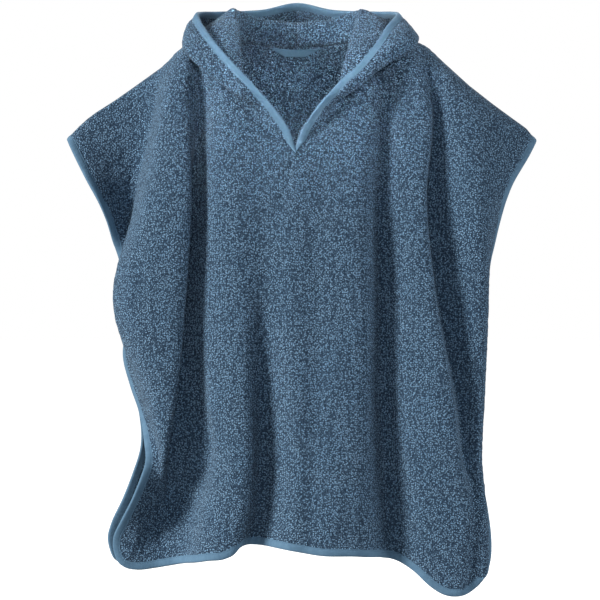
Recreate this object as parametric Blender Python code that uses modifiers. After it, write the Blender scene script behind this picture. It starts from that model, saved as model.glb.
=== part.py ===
"""Hooded bath poncho for a small child, in terry towelling, in its worn and hollow form.

Blender 4.5, metres, +Z up. The wearer faces -Y. The origin is the middle of the neck base,
at the height where the shoulders carry the garment. "Drop" is a depth below that height.
The tables are in millimetres, and MM turns them into metres.
"""
from collections import namedtuple

import bmesh
import bpy
import numpy as np

NAME = "hooded_bath_poncho"
MM = 0.001

WALL = 2.6 * MM               # terry cloth, pile pressed
SEAM = 0.3 * MM               # room left between pieces that are sewn together
SHOULDER_GAP = 0.6 * MM       # from the shoulder line to the middle of each panel's top edge
CROWN_GAP = 0.35 * MM         # from the middle plane to each hood half
POINT_GAP = 0.9 * MM          # from the middle of the V to each hood half
HOOD_LIFT = WALL / 2 + 3 * SEAM   # from a neckline to the hood's first row
BINDING_WIDTH = 10.0 * MM     # finished width of the folded tape
BINDING_ROOM = 1.4 * MM       # from the tape's inner edge to the middle of the cloth's edge
FRONT_ROOM = 2.0 * MM         # the same along the front's curved edge
BINDING_END = 0.5 * MM        # from a tape's end to the end of the cloth
BINDING_THICK = 4.2 * MM
ROLL_POWER = 2.5              # 2 turns over the shoulder in a quarter of an ellipse

LOOP_THICK = 1.6 * MM
LOOP_DEPTH = 11.0 * MM
LOOP_TOP = 27.0 * MM          # half of its length at the neck seam
LOOP_FOOT = 15.0 * MM         # half of its length at its lower edge
LOOP_DROP = 2.0 * MM          # from the neck seam to the tape

# Shoulder line over the neck and both sleeves: place across, drop.
RIDGE = ((-345, 146), (-294.5, 108), (-286, 98), (-225, 52), (-165, 8), (-147, -9), (-92, -27),
         (-60, -36), (0, -45), (60, -36), (92, -27), (130, -22), (163, -12), (188, 11),
         (215, 35), (261, 71), (298, 99), (306, 109), (350, 146))

# Drop within which a panel turns over the shoulder line: place across, drop.
ROLL = ((-294, 16), (-200, 44), (-120, 65), (120, 65), (200, 44), (306, 16))

# Neck seam, from the point of the V to each neck point and on to the centre back: place
# across, drop.
NECK_FRONT_LEFT = ((-2, 131), (-13, 116), (-24, 103), (-47, 78), (-68, 58), (-79, 38), (-87, 14),
                   (-93, -10), (-97, -26))
NECK_FRONT_RIGHT = ((-2, 131), (10, 115), (22, 100), (42, 72), (62, 51), (77, 35), (86, 12),
                    (92, -10), (97, -26))
NECK_BACK_LEFT = ((-97, -26), (-90, -24.5), (-74, -22.7), (-42, -19.8), (0, -17.6))
NECK_BACK_RIGHT = ((97, -26), (90, -24.5), (74, -22.7), (42, -19.8), (0, -17.6))

# Outer edges of the panels: drop, place across, depth front to back.
FRONT_LEFT_EDGE = ((108, -294, -15), (132, -282, -25), (162, -266, -36), (189, -251, -38),
                   (215, -241, -27), (239, -235, -14), (260, -227, -6), (286, -218, -3.2),
                   (320, -213, -3), (353, -217, -3), (378, -222, -4), (422, -212, -9),
                   (452, -201, -20), (493, -193, -44), (514, -191, -55), (538, -198, -57),
                   (567, -210, -52), (595, -225, -40), (612, -233, -33), (627, -234, -28),
                   (642, -230, -28))
FRONT_RIGHT_EDGE = ((109, 306, -15), (129, 295, -26), (167, 272, -42), (186, 264, -46),
                    (210, 257, -38), (237, 251, -26), (260, 246, -15), (286, 243, -8),
                    (312, 241, -4), (373, 237, -5), (422, 235, -14), (483, 232, -28),
                    (519, 231, -38), (551, 234, -48), (585, 240, -54), (609, 243, -57),
                    (635, 243, -58), (652, 239, -58))
BACK_LEFT_EDGE = ((108, -294, 13), (132, -282, 16), (162, -266, 24), (189, -251, 28),
                  (215, -241, 23), (239, -235, 16), (260, -227, 8), (286, -217, 3.2),
                  (320, -213, 3), (353, -217, 3), (378, -221, 5), (422, -210, 10),
                  (452, -204, 16), (502, -202, 28), (536, -213, 38), (571, -227, 43),
                  (603, -242, 42), (620, -246, 40), (635, -243, 38), (645, -239, 37))
BACK_RIGHT_EDGE = ((109, 306, 13), (129, 295, 16), (167, 272, 26), (186, 264, 30),
                   (210, 257, 24), (237, 251, 15), (260, 246, 7), (286, 243, 3.2),
                   (312, 241, 3), (373, 237, 3), (422, 236, 8), (483, 234, 15),
                   (551, 237, 24), (609, 243, 30), (635, 241, 31), (649, 234, 32))

# Hems between the rounded corners: place across, drop.
FRONT_HEM = ((-236, 628), (-230, 642), (-219, 652), (-206, 655), (-182, 653), (-160, 649),
             (-112, 638), (-87, 634), (-77, 628), (-73, 622), (-68, 619.5), (-54, 619), (-17, 623),
             (29, 630), (79, 632), (129, 641), (148, 653), (166, 670), (182, 680), (198, 683),
             (220, 676), (233, 663), (239, 652), (245, 637))
BACK_HEM = ((-249, 625), (-239, 645), (-229, 654), (-215, 657), (-180, 652), (-110, 640),
            (-60, 630), (0, 634), (80, 645), (125, 650), (180, 660), (205, 661), (225, 655),
            (234, 649), (243, 635))

# Folds that hang in a panel, from the wearer's right to left. Each has its place across and
# its depth front to back at these drops.
LEVELS = (-30, 60, 190, 312, 440, 510, 570, 640)
Fold = namedtuple("Fold", "name across depth")
FRONT_FOLDS = (
    Fold("sleeve_trough", (-167, -184, -211, -223, -196, -174, -190, -214),
         (-40, -12, -9, -25, -34, -57, -39, -29)),
    Fold("side_roll_edge", (-158, -174, -202, -231, -190, -171, -184, -206),
         (-48, -32, -37, -50, -56, -62, -33, -28)),
    Fold("side_roll_crown", (-147, -163, -184, -206, -178, -168, -178, -198),
         (-55, -54, -74, -80, -76, -67, -27, -27)),
    Fold("side_roll_lip", (-137, -140, -135, -142, -154, -165, -172, -187),
         (-55, -58, -80, -83, -79, -66, -22, -26)),
    Fold("side_roll_valley", (-130, -124, -138, -146, -155, -162, -166, -176),
         (-50, -42, -44, -44, -50, -46, -18, -25)),
    Fold("side_roll_foot", (-122, -115, -121, -128, -119, -112, -134, -148),
         (-50, -47, -56, -58, -58, -52, -26, -34)),
    Fold("chest_ridge", (-108, -104, -102, -101, -102, -96, -106, -120),
         (-52, -60, -79, -82, -84, -84, -80, -80)),
    Fold("chest_slope", (-85, -80, -76, -72, -66, -63, -68, -84),
         (-52, -68, -89, -91, -94, -94, -92, -90)),
    Fold("hem_valley", (-62, -52, -44, -40, -44, -45, -47, -60),
         (-50, -67, -88, -85, -71, -66, -66, -66)),
    Fold("middle_ridge", (0, 0, -2, -4, -2, 1, 0, -12), (-50, -70, -97, -98, -98, -97, -97, -94)),
    Fold("middle_hollow", (19, 23, 24, 26, 22, 19, 16, 11), (-50, -69, -95, -96, -97, -98, -98, -97)),
    Fold("soft_ridge", (48, 51, 56, 52, 50, 46, 44, 38), (-50, -66, -98, -101, -103, -104, -104, -102)),
    Fold("right_slope", (69, 87, 84, 85, 82, 82, 84, 86), (-50, -62, -93, -96, -98, -98, -95, -90)),
    Fold("wide_valley", (95, 112, 104, 106, 108, 112, 116, 124),
         (-50, -48, -70, -68, -66, -64, -63, -64)),
    Fold("shoulder_ridge", (115, 134, 128, 134, 142, 148, 156, 162),
         (-52, -60, -81, -84, -87, -87, -84, -80)),
    Fold("shoulder_fall", (130, 163, 158, 170, 191, 199, 211, 206),
         (-50, -60, -86, -92, -97, -96, -90, -84)),
    Fold("sleeve_crease", (150, 172, 165, 177, 200, 208, 221, 218),
         (-44, -48, -58, -64, -72, -76, -82, -76)),
    Fold("sleeve_ridge", (176, 202, 228, 233, 230, 228, 234, 236),
         (-46, -58, -82, -76, -76, -76, -78, -74)),
)
BACK_FOLDS = (
    Fold("sleeve_trough", (-160, -182, -196, -198, -186, -188, -202, -224),
         (46, 46, 42, 38, 36, 44, 54, 50)),
    Fold("blade_ridge", (-128, -144, -166, -176, -166, -168, -178, -188),
         (58, 64, 74, 82, 82, 84, 86, 84)),
    Fold("blade_valley", (-100, -108, -116, -122, -124, -126, -130, -136),
         (64, 66, 62, 58, 58, 56, 56, 56)),
    Fold("left_ridge", (-62, -64, -66, -70, -74, -78, -82, -86), (74, 80, 88, 96, 101, 104, 106, 106)),
    Fold("middle_valley", (-10, -12, -14, -16, -18, -19, -21, -24), (76, 80, 82, 80, 78, 74, 72, 70)),
    Fold("right_ridge", (38, 40, 42, 44, 44, 45, 47, 48), (74, 82, 92, 100, 106, 109, 111, 112)),
    Fold("right_valley", (80, 88, 94, 98, 102, 105, 108, 110), (68, 70, 68, 64, 60, 58, 58, 58)),
    Fold("blade_ridge_right", (118, 136, 148, 156, 162, 166, 171, 176),
         (60, 68, 80, 90, 94, 94, 93, 92)),
    Fold("sleeve_hollow", (158, 184, 202, 208, 210, 211, 214, 218), (48, 48, 46, 42, 40, 42, 47, 50)),
)

# Hood: one row for each station of the neck seam, from the V to the centre back. The lines
# run from the seam over the crest of the stand, down the inside of the thrown-back bag
# through its throat to its bottom, and up its outside to the free edge round the face:
# (across, depth, height).
Station = namedtuple("Station", "crest inside throat bottom outside edge")
FLAT = None
HOOD_LEFT = (
    Station(FLAT, FLAT, FLAT, FLAT, FLAT, (-3.8, -84, -119.5)),
    Station(FLAT, FLAT, FLAT, FLAT, FLAT, (-8.5, -84, -100.5)),
    Station(FLAT, FLAT, FLAT, FLAT, FLAT, (-16.5, -85, -88)),
    Station(FLAT, FLAT, FLAT, FLAT, FLAT, (-36, -84, -63)),
    Station((-61, -68, -47), (-66, -73, -47), (-71, -78, -51), (-75, -83, -57), (-68, -89, -51),
            (-56, -82, -41)),
    Station((-70, -58, -22), (-78, -65, -25), (-85, -71, -34), (-91, -78, -44), (-86, -82, -37),
            (-74, -78, -21)),
    Station((-72, -40, 11), (-89, -53, 6), (-105, -61, -10), (-119, -68, -22), (-112, -72, -13),
            (-97, -63, 5)),
    Station((-76, -16, 40), (-104, -28, 34), (-126, -40, 17), (-141, -50, 2), (-134, -56, 16),
            (-116, -44, 31)),
    Station((-80, 6, 60), (-108, -2, 42), (-131, -6, 28), (-145, -10, 17), (-140, -18, 36),
            (-126, -14, 53)),
    Station((-79, 22, 62), (-108, 24, 43), (-129, 26, 30), (-142, 26, 21), (-136, 30, 37),
            (-121, 16, 59)),
    Station((-68, 42, 60), (-92, 54, 40), (-108, 66, 16), (-120, 76, -4), (-116, 82, 26),
            (-98, 56, 64)),
    Station((-40, 60, 54), (-52, 82, 24), (-60, 94, -20), (-64, 104, -62), (-62, 120, 18),
            (-46, 88, 70)),
    Station((0, 67, 51), (0, 88, 16), (0, 98, -32), (0, 108, -80), (0, 130, 16), (0, 98, 80.5)),
)
HOOD_RIGHT = (
    Station(FLAT, FLAT, FLAT, FLAT, FLAT, (-0.2, -84, -119.5)),
    Station(FLAT, FLAT, FLAT, FLAT, FLAT, (5.5, -84, -99.5)),
    Station(FLAT, FLAT, FLAT, FLAT, FLAT, (15, -85, -85)),
    Station(FLAT, FLAT, FLAT, FLAT, FLAT, (34, -84, -60)),
    Station((53, -66, -42), (58, -71, -42), (64, -76, -46), (68, -81, -51), (63, -87, -47),
            (55, -82, -37)),
    Station((59, -58, -18), (71, -65, -20), (79, -71, -30), (87, -77, -36), (83, -84, -31),
            (74, -78, -20)),
    Station((67, -40, 12), (86, -52, 8), (97, -60, -8), (114, -66, -14), (108, -73, -5),
            (97, -63, 8)),
    Station((75, -16, 38), (103, -26, 35), (120, -37, 19), (146, -50, 4), (136, -56, 19),
            (113, -44, 34)),
    Station((81, 6, 58), (111, -1, 46), (130, -4, 31), (154, -11, 22), (143, -20, 37),
            (127, -14, 53)),
    Station((79, 22, 61), (109, 24, 46), (128, 26, 31), (147, 27, 22), (138, 31, 39),
            (121, 16, 59)),
    Station((68, 42, 60), (94, 54, 40), (110, 66, 14), (122, 77, -4), (117, 83, 26),
            (98, 56, 64)),
    Station((40, 60, 54), (52, 82, 24), (60, 94, -20), (64, 104, -62), (62, 120, 18),
            (46, 88, 70)),
    Station((0, 67, 51), (0, 88, 16), (0, 98, -32), (0, 108, -80), (0, 130, 16), (0, 98, 80.5)),
)
HOOD_LINES = 7                        # seam, crest, inside, throat, bottom, outside, end
FLAT_SHARES = (0.16, 0.32, 0.5, 0.66, 0.84)    # places of the middle lines where the hood lies flat
FRONT_STATIONS = 8                    # station of the neck point
FIRST_STATION = 1                     # station from which cloth shows beside the tape

# Steps of the meshes: in each fold from an edge to the neck point, and between stations.
FRONT_LEFT_STEPS = (1, 1, 2, 2, 2, 2, 2)
FRONT_RIGHT_STEPS = (1, 2, 2, 2, 2)
BACK_LEFT_STEPS = (1, 2, 2, 1)
BACK_RIGHT_STEPS = (1, 2, 2)
FRONT_NECK_STEPS = 1
BACK_NECK_STEPS = 2
HOOD_COLUMN_STEPS = 2                 # hood columns to each column of a panel
HOOD_STEPS = (2, 2, 2, 1, 3, 2)       # from each line of the hood to the next
PANEL_ROWS = 26
SHOULDER_ROWS = (0.0, 0.003, 0.014, 0.034, 0.062)   # first rows, as shares of a column
NECK_ROWS = (0.0, 0.014, 0.030, 0.048, 0.070)
TAPE_FLAT = 2.0 * MM                  # of the cloth beside a side tape that lies in its plane

TERRY_BLUE = (0.085, 0.165, 0.262, 1.0)
BINDING_BLUE = (0.098, 0.205, 0.330, 1.0)


def slopes(steps, values):
    """Slope of a smooth curve at each of its points, from the steps between them."""
    chords = np.diff(values, axis=0) / steps
    before = steps[:-1]
    after = steps[1:]
    middle = (chords[:-1] * after + chords[1:] * before) / (before + after)
    return np.concatenate([chords[:1], middle, chords[-1:]])


def blend(share, step, start, end, start_slope, end_slope):
    """Point at a share of the way along one stretch of a smooth curve."""
    square = share * share
    cube = square * share
    return ((2 * cube - 3 * square + 1) * start + (cube - 2 * square + share) * step * start_slope
            + (3 * square - 2 * cube) * end + (cube - square) * step * end_slope)


def along(knots, values, places):
    """Smooth curve through values at knots, read at places and straight past its ends."""
    knots = np.asarray(knots, dtype=float)
    values = np.asarray(values, dtype=float).reshape(len(knots), -1)
    places = np.asarray(places, dtype=float)
    steps = np.diff(knots)[:, None]
    slope = slopes(steps, values)
    inside = np.clip(places, knots[0], knots[-1])
    span = np.clip(np.searchsorted(knots, inside, side="right") - 1, 0, len(knots) - 2)
    share = ((inside - knots[span]) / steps[span, 0])[:, None]
    read = blend(share, steps[span], values[span], values[span + 1], slope[span], slope[span + 1])
    end = np.where(places < knots[0], 0, len(knots) - 1)
    return read + (places - inside)[:, None] * slope[end]


def table_line(table, places):
    """Second column of a two-column table, read at places along its first, in metres."""
    rows = np.array(table) * MM
    return along(rows[:, 0], rows[:, 1], places)[:, 0]


def shoulder_roll(across, drop):
    """Share of its full depth that a panel has reached below the shoulder line."""
    ends = np.array(ROLL) * MM
    depth = np.interp(across, ends[:, 0], ends[:, 1])
    share = np.clip((drop - table_line(RIDGE, across)) / depth, 0.0, 1.0)
    return (1.0 - (1.0 - share) ** ROLL_POWER) ** (1.0 / ROLL_POWER)


class Panel:
    """Hanging panel: its level sections run from edge to edge through the folds."""

    def __init__(self, left_edge, right_edge, folds, hem, side):
        levels = np.array(LEVELS) * MM
        self.lines = [self.edge_line(left_edge)]
        self.lines += [(levels, np.column_stack([fold.across, fold.depth]) * MM) for fold in folds]
        self.lines.append(self.edge_line(right_edge))
        self.last = len(self.lines) - 1
        self.hem = hem
        self.side = side

    @staticmethod
    def edge_line(edge):
        rows = np.array(edge) * MM
        return rows[:, 0], rows[:, 1:]

    def section(self, place, drop):
        """Points of the cloth at places across (counted in folds) and drops."""
        place = np.asarray(place, dtype=float)
        drop = np.asarray(drop, dtype=float)
        lines = np.array([along(knots, values, drop) for knots, values in self.lines])
        reach = np.linalg.norm(np.diff(lines, axis=0), axis=2, keepdims=True)
        steps = np.sqrt(np.maximum(reach, MM))
        slope = slopes(steps, lines)
        span = np.clip(np.floor(place).astype(int), 0, self.last - 1)
        share = (place - span)[:, None]
        item = np.arange(len(place))
        plan = blend(share, steps[span, item], lines[span, item], lines[span + 1, item],
                     slope[span, item], slope[span + 1, item])
        depth = plan[:, 1] * shoulder_roll(plan[:, 0], drop)
        depth = self.side * np.maximum(self.side * depth, SHOULDER_GAP)
        return np.column_stack([plan[:, 0], depth, -drop])

    def meets(self, place, table, low, high):
        """Drop at which the cloth at each place crosses a line given by a table."""
        low = np.full(len(place), low)
        high = np.full(len(place), high)
        for _ in range(40):
            middle = (low + high) / 2
            short = middle < table_line(table, self.section(place, middle)[:, 0])
            low = np.where(short, middle, low)
            high = np.where(short, high, middle)
        return (low + high) / 2

    def place_of(self, across, drop):
        """Place, counted in folds, that lies at a distance across at one drop."""
        low = np.zeros(1)
        high = np.full(1, float(self.last))
        for _ in range(40):
            middle = (low + high) / 2
            if self.section(middle, np.array([drop]))[0, 0] < across:
                low = middle
            else:
                high = middle
        return float(low[0])


def neck_points(rows, steps):
    """Places across and drops along a stretch of the neck seam, in metres."""
    rows = np.array(rows) * MM
    knots = np.arange(len(rows))
    places = np.linspace(0, len(rows) - 1, (len(rows) - 1) * steps + 1)
    return along(knots, rows, places)


def side_places(first, last, steps):
    """Column places from an edge to the neck point, with the given steps in each fold."""
    inward = np.sign(last - first)
    spans = np.append(first + inward * np.arange(len(steps)), last)
    places = [np.linspace(start, end, count, endpoint=False)
              for start, end, count in zip(spans[:-1], spans[1:], steps)]
    return list(np.concatenate(places))


def panel_columns(panel, neck, left_steps, right_steps):
    """Column places and top drops of a panel: shoulder, neck seam and shoulder."""
    neck_places = [panel.place_of(across, drop) for across, drop in neck]
    left = side_places(0.0, neck_places[0], left_steps)
    right = side_places(panel.last, neck_places[-1], right_steps)[::-1]
    left_top = list(panel.meets(np.array(left), RIDGE, -60 * MM, 200 * MM))
    right_top = list(panel.meets(np.array(right), RIDGE, -60 * MM, 200 * MM))
    places = np.array(left + neck_places + right)
    tops = np.array(left_top + list(neck[:, 1]) + right_top)
    return places, tops


def row_shares(first_rows):
    """Shares of the way from the top of a panel to its hem, closer at the top."""
    rest = np.linspace(first_rows[-1], 1.0, PANEL_ROWS - len(first_rows) + 1)[1:]
    return np.concatenate([first_rows, rest])


def panel_grid(panel, places, tops, neck):
    """Points of a panel: rows from the top to the hem, columns from edge to edge."""
    hems = panel.meets(places, panel.hem, 560 * MM, 720 * MM)
    hems[0] = panel.lines[0][0][-1]
    hems[-1] = panel.lines[-1][0][-1]
    shares = np.tile(row_shares(SHOULDER_ROWS)[:, None], len(places))
    shares[:, neck] = row_shares(NECK_ROWS)[:, None]
    rows = [panel.section(places, tops + (hems - tops) * share) for share in shares]
    return np.array(rows)


def towards(points, others):
    """Unit vectors from points to others."""
    away = others - points
    return away / np.linalg.norm(away, axis=-1, keepdims=True)


def tuck(edge, inner, distance):
    """Edge points moved in towards the next points of the cloth."""
    return edge + towards(edge, inner) * distance


def hood_line(station, seam):
    """Points of one hood station: its start, five lines, its end and the tape's two edges."""
    edge = np.array(station.edge) * MM
    if station.crest is FLAT:
        start = tuck(seam, edge, HOOD_LIFT)
        inner = tuck(edge, seam, BINDING_WIDTH)
        end = tuck(inner, seam, BINDING_ROOM)
        middle = [start + (end - start) * share for share in FLAT_SHARES]
    else:
        middle = [np.array(point) * MM for point in station[:-1]]
        start = tuck(seam, middle[0], HOOD_LIFT)
        inner = tuck(edge, middle[-1], BINDING_WIDTH)
        end = tuck(inner, middle[-1], BINDING_ROOM)
    return [start] + middle + [end, inner, edge]


def between(points, steps):
    """The same line of points with more of them along its straight stretches."""
    knots = np.arange(len(points))
    places = np.linspace(0, len(points) - 1, (len(points) - 1) * steps + 1)
    return np.column_stack([np.interp(places, knots, axis) for axis in points.T])


def hood_half(stations, front_seam, back_seam, side):
    """Points of a hood half from seam to tape, columns from the V, and its two tape edges."""
    front_seam = between(front_seam, HOOD_COLUMN_STEPS)
    back_seam = between(back_seam, HOOD_COLUMN_STEPS)
    seam = np.concatenate([front_seam, back_seam[1:]])
    front = np.linspace(0, FRONT_STATIONS, len(front_seam))
    back = np.linspace(FRONT_STATIONS, len(stations) - 1, len(back_seam))
    places = np.concatenate([front, back[1:]])
    knots = np.arange(len(stations) + 1)
    seam[0, 0] += side * POINT_GAP
    seam_at = along(places, seam, knots[:-1])
    cage = np.array([hood_line(station, point) for station, point in zip(stations, seam_at)])
    cage = np.concatenate([cage, cage[-2:-1] * np.array([-1.0, 1.0, 1.0])])
    columns = along(knots, cage.reshape(len(cage), -1), places).reshape(-1, HOOD_LINES + 2, 3)
    columns[:, 0] = tuck(seam, columns[:, 1], HOOD_LIFT)
    columns[-1, :, 0] = side * CROWN_GAP
    lines = np.concatenate([np.linspace(line, line + 1, steps, endpoint=False)
                            for line, steps in enumerate(HOOD_STEPS)] + [[HOOD_LINES - 1]])
    grid = np.array([along(np.arange(HOOD_LINES), column[:-2], lines) for column in columns])
    grid = grid[FIRST_STATION * HOOD_COLUMN_STEPS:]
    return grid.transpose(1, 0, 2), columns[:, -2:].transpose(1, 0, 2)


def new_material(name, colour):
    material = bpy.data.materials.new(name)
    material.use_nodes = True
    shader = material.node_tree.nodes["Principled BSDF"]
    shader.inputs["Base Color"].default_value = colour
    shader.inputs["Roughness"].default_value = 0.9
    shader.inputs["Metallic"].default_value = 0.0
    return material


def cloth(name, grid, thickness, colour, collection):
    """Wall of even thickness through a grid of points, which becomes one named object."""
    rows, columns = grid.shape[:2]
    mesh = bpy.data.meshes.new(name)
    sheet = bmesh.new()
    bmesh.ops.create_grid(sheet, x_segments=columns - 1, y_segments=rows - 1, size=1.0)
    order = sorted(sheet.verts, key=lambda vert: (-round(vert.co.y, 5), round(vert.co.x, 5)))
    for vert, point in zip(order, grid.reshape(-1, 3)):
        vert.co = point
    sheet.to_mesh(mesh)
    sheet.free()
    mesh.shade_smooth()
    mesh.materials.append(new_material(name + "_cloth", colour))
    piece = bpy.data.objects.new(name, mesh)
    collection.objects.link(piece)
    solidify = piece.modifiers.new("Wall", "SOLIDIFY")
    solidify.thickness = thickness
    solidify.offset = 0.0
    return piece


def free_edge(grid):
    """Free edge of a panel from sleeve end to sleeve end."""
    return np.concatenate([grid[:, 0], grid[-1, 1:-1], grid[::-1, -1]])


def inset_edge(grid, distance):
    """Line in a panel at a distance from its free edge, measured square to the edge."""
    edge = free_edge(grid)
    inner = np.concatenate([grid[:-1, 1], grid[-2:-1, 1], grid[-2, 1:-1], grid[-2:-1, -2],
                            grid[-2::-1, -2]])
    ahead = np.gradient(edge, axis=0)
    ahead /= np.linalg.norm(ahead, axis=1, keepdims=True)
    inward = inner - edge
    inward -= np.sum(inward * ahead, axis=1, keepdims=True) * ahead
    return edge + inward / np.linalg.norm(inward, axis=1, keepdims=True) * distance


def panel_binding(name, grid, collection):
    """Folded tape round the free edges of a panel, from sleeve end to sleeve end."""
    strip = np.array([free_edge(grid), inset_edge(grid, BINDING_WIDTH)])
    strip[:, 0] = tuck(strip[:, 0], strip[:, 1], BINDING_END)
    strip[:, -1] = tuck(strip[:, -1], strip[:, -2], BINDING_END)
    return cloth(name, strip, BINDING_THICK, BINDING_BLUE, collection)


def tucked_panel(grid, room):
    """Panel grid with its free edges drawn back, leaving room beside the binding."""
    inset = inset_edge(grid, BINDING_WIDTH + room)
    beside = inset_edge(grid, BINDING_WIDTH + room + TAPE_FLAT)
    rows, columns = grid.shape[:2]
    cut = grid.copy()
    cut[:, 0] = inset[:rows]
    cut[-1, 1:-1] = inset[rows:rows + columns - 2]
    cut[::-1, -1] = inset[rows + columns - 2:]
    left = beside[:rows]
    right = beside[::-1][:rows]
    left[-1] = (cut[-1, 0] + cut[-1, 1]) / 2
    right[-1] = (cut[-1, -1] + cut[-1, -2]) / 2
    return np.concatenate([cut[:, :1], left[:, None], cut[:, 1:-1], right[:, None], cut[:, -1:]],
                          axis=1)


def build_loop(panel, collection):
    """Hanging tape that lies on the inside of the back, under the neck seam."""
    rows = []
    for share in (0.0, 0.5, 1.0):
        half = LOOP_TOP + (LOOP_FOOT - LOOP_TOP) * share
        across = np.linspace(-half, half, 9)
        drop = table_line(sorted(NECK_BACK_LEFT + NECK_BACK_RIGHT[:-1]), across)
        drop = drop + LOOP_DROP + LOOP_DEPTH * share
        places = np.array([panel.place_of(x, d) for x, d in zip(across, drop)])
        rows.append(panel.section(places, drop))
    grid = np.array(rows)
    normal = np.cross(grid[1:, 1:] - grid[:-1, :-1], grid[1:, :-1] - grid[:-1, 1:])
    mean = normal.reshape(-1, 3).sum(axis=0)
    mean /= np.linalg.norm(mean)
    inward = -mean * np.sign(mean[1])
    lift = (WALL + LOOP_THICK) / 2 + 2 * SEAM
    return cloth("hanging_loop", grid + inward * lift, LOOP_THICK, BINDING_BLUE, collection)


def main():
    for old in list(bpy.data.objects):
        bpy.data.objects.remove(old, do_unlink=True)
    collection = bpy.data.collections.new(NAME)
    bpy.context.scene.collection.children.link(collection)

    front = Panel(FRONT_LEFT_EDGE, FRONT_RIGHT_EDGE, FRONT_FOLDS, FRONT_HEM, -1)
    left_neck = neck_points(NECK_FRONT_LEFT, FRONT_NECK_STEPS)
    right_neck = neck_points(NECK_FRONT_RIGHT, FRONT_NECK_STEPS)
    neck = np.concatenate([left_neck[::-1], right_neck[1:]])
    places, tops = panel_columns(front, neck, FRONT_LEFT_STEPS, FRONT_RIGHT_STEPS)
    first = sum(FRONT_LEFT_STEPS)
    at_neck = slice(first, first + len(neck))
    front_points = panel_grid(front, places, tops, at_neck)
    cloth("front_panel", tucked_panel(front_points, FRONT_ROOM), WALL, TERRY_BLUE, collection)
    panel_binding("front_binding", front_points, collection)
    front_seam = front_points[0, at_neck]

    back = Panel(BACK_LEFT_EDGE, BACK_RIGHT_EDGE, BACK_FOLDS, BACK_HEM, 1)
    left_back = neck_points(NECK_BACK_LEFT, BACK_NECK_STEPS)
    right_back = neck_points(NECK_BACK_RIGHT, BACK_NECK_STEPS)
    neck = np.concatenate([left_back, right_back[-2::-1]])
    places, tops = panel_columns(back, neck, BACK_LEFT_STEPS, BACK_RIGHT_STEPS)
    first = sum(BACK_LEFT_STEPS)
    at_neck = slice(first, first + len(neck))
    back_points = panel_grid(back, places, tops, at_neck)
    cloth("back_panel", tucked_panel(back_points, BINDING_ROOM), WALL, TERRY_BLUE, collection)
    panel_binding("back_binding", back_points, collection)
    back_seam = back_points[0, at_neck]

    middle = len(left_neck) - 1
    centre = len(left_back) - 1
    left, left_tape = hood_half(HOOD_LEFT, front_seam[middle::-1], back_seam[:centre + 1], -1)
    right, right_tape = hood_half(HOOD_RIGHT, front_seam[middle:], back_seam[:centre - 1:-1], 1)
    cloth("hood_left", left, WALL, TERRY_BLUE, collection)
    cloth("hood_right", right, WALL, TERRY_BLUE, collection)
    crown = (left_tape[:, -1:] + right_tape[:, -1:]) / 2
    tape = np.concatenate([left_tape[:, :-1], crown, right_tape[:, -2::-1]], axis=1)
    cloth("hood_binding", tape, BINDING_THICK, BINDING_BLUE, collection)
    build_loop(back, collection)


main()
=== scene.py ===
"""Looks of a hooded bath poncho: terry shells with their pile, folded tapes, stitching and studio.

Laid out as a Blender add-on and run as a script. Metres, +Z up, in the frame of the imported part:
the wearer faces -Y and the origin is the middle of the neck base. The tables are in millimetres,
"drop" is a depth below the origin, and left and right are as seen from the front.
"""

from collections import namedtuple

import bmesh
import bpy
import numpy as np
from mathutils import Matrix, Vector, noise
from mathutils.bvhtree import BVHTree
from mathutils.kdtree import KDTree


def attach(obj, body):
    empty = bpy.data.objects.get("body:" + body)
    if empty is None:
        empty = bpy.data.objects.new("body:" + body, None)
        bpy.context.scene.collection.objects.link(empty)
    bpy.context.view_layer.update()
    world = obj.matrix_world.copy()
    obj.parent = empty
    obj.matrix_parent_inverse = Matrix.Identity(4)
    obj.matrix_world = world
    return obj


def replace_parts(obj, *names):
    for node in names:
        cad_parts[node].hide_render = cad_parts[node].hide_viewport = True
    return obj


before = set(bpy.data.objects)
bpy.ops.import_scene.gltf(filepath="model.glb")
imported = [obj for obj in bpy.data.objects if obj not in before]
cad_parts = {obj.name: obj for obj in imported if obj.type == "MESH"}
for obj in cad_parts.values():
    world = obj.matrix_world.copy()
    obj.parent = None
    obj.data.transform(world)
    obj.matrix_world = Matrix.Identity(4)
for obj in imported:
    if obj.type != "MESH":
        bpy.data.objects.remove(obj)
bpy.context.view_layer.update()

bl_info = {
    "name": "Hooded Bath Poncho",
    "version": (1, 0, 0),
    "blender": (4, 5, 0),
    "location": "View3D > Sidebar > Poncho",
    "description": "Terry panels, thrown-back hood, folded tapes and studio of a bath poncho",
    "category": "Object",
}

MM = 0.001
FULL_TURN = 6.2832            # in radians
BODY = "root"

# Shoulder line over the neck and both sleeves: place across, drop.
RIDGE = ((-345, 146), (-294.5, 108), (-286, 98), (-225, 52), (-165, 8), (-147, -9), (-92, -27),
         (-60, -36), (0, -45), (60, -36), (92, -27), (130, -22), (163, -12), (188, 11),
         (215, 35), (261, 71), (298, 99), (306, 109), (350, 146))

# Drop within which a panel turns over the shoulder line: place across, drop.
ROLL = ((-294, 16), (-200, 44), (-120, 65), (120, 65), (200, 44), (306, 16))

# Neck seam, from the point of the V to each neck point and on to the centre back: place
# across, drop.
NECK_FRONT_LEFT = ((-2, 131), (-13, 116), (-24, 103), (-47, 78), (-68, 58), (-79, 38), (-87, 14),
                   (-93, -10), (-97, -26))
NECK_FRONT_RIGHT = ((-2, 131), (10, 115), (22, 100), (42, 72), (62, 51), (77, 35), (86, 12),
                    (92, -10), (97, -26))
NECK_BACK_LEFT = ((-97, -26), (-90, -24.5), (-74, -22.7), (-42, -19.8), (0, -17.6))
NECK_BACK_RIGHT = ((97, -26), (90, -24.5), (74, -22.7), (42, -19.8), (0, -17.6))

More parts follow.
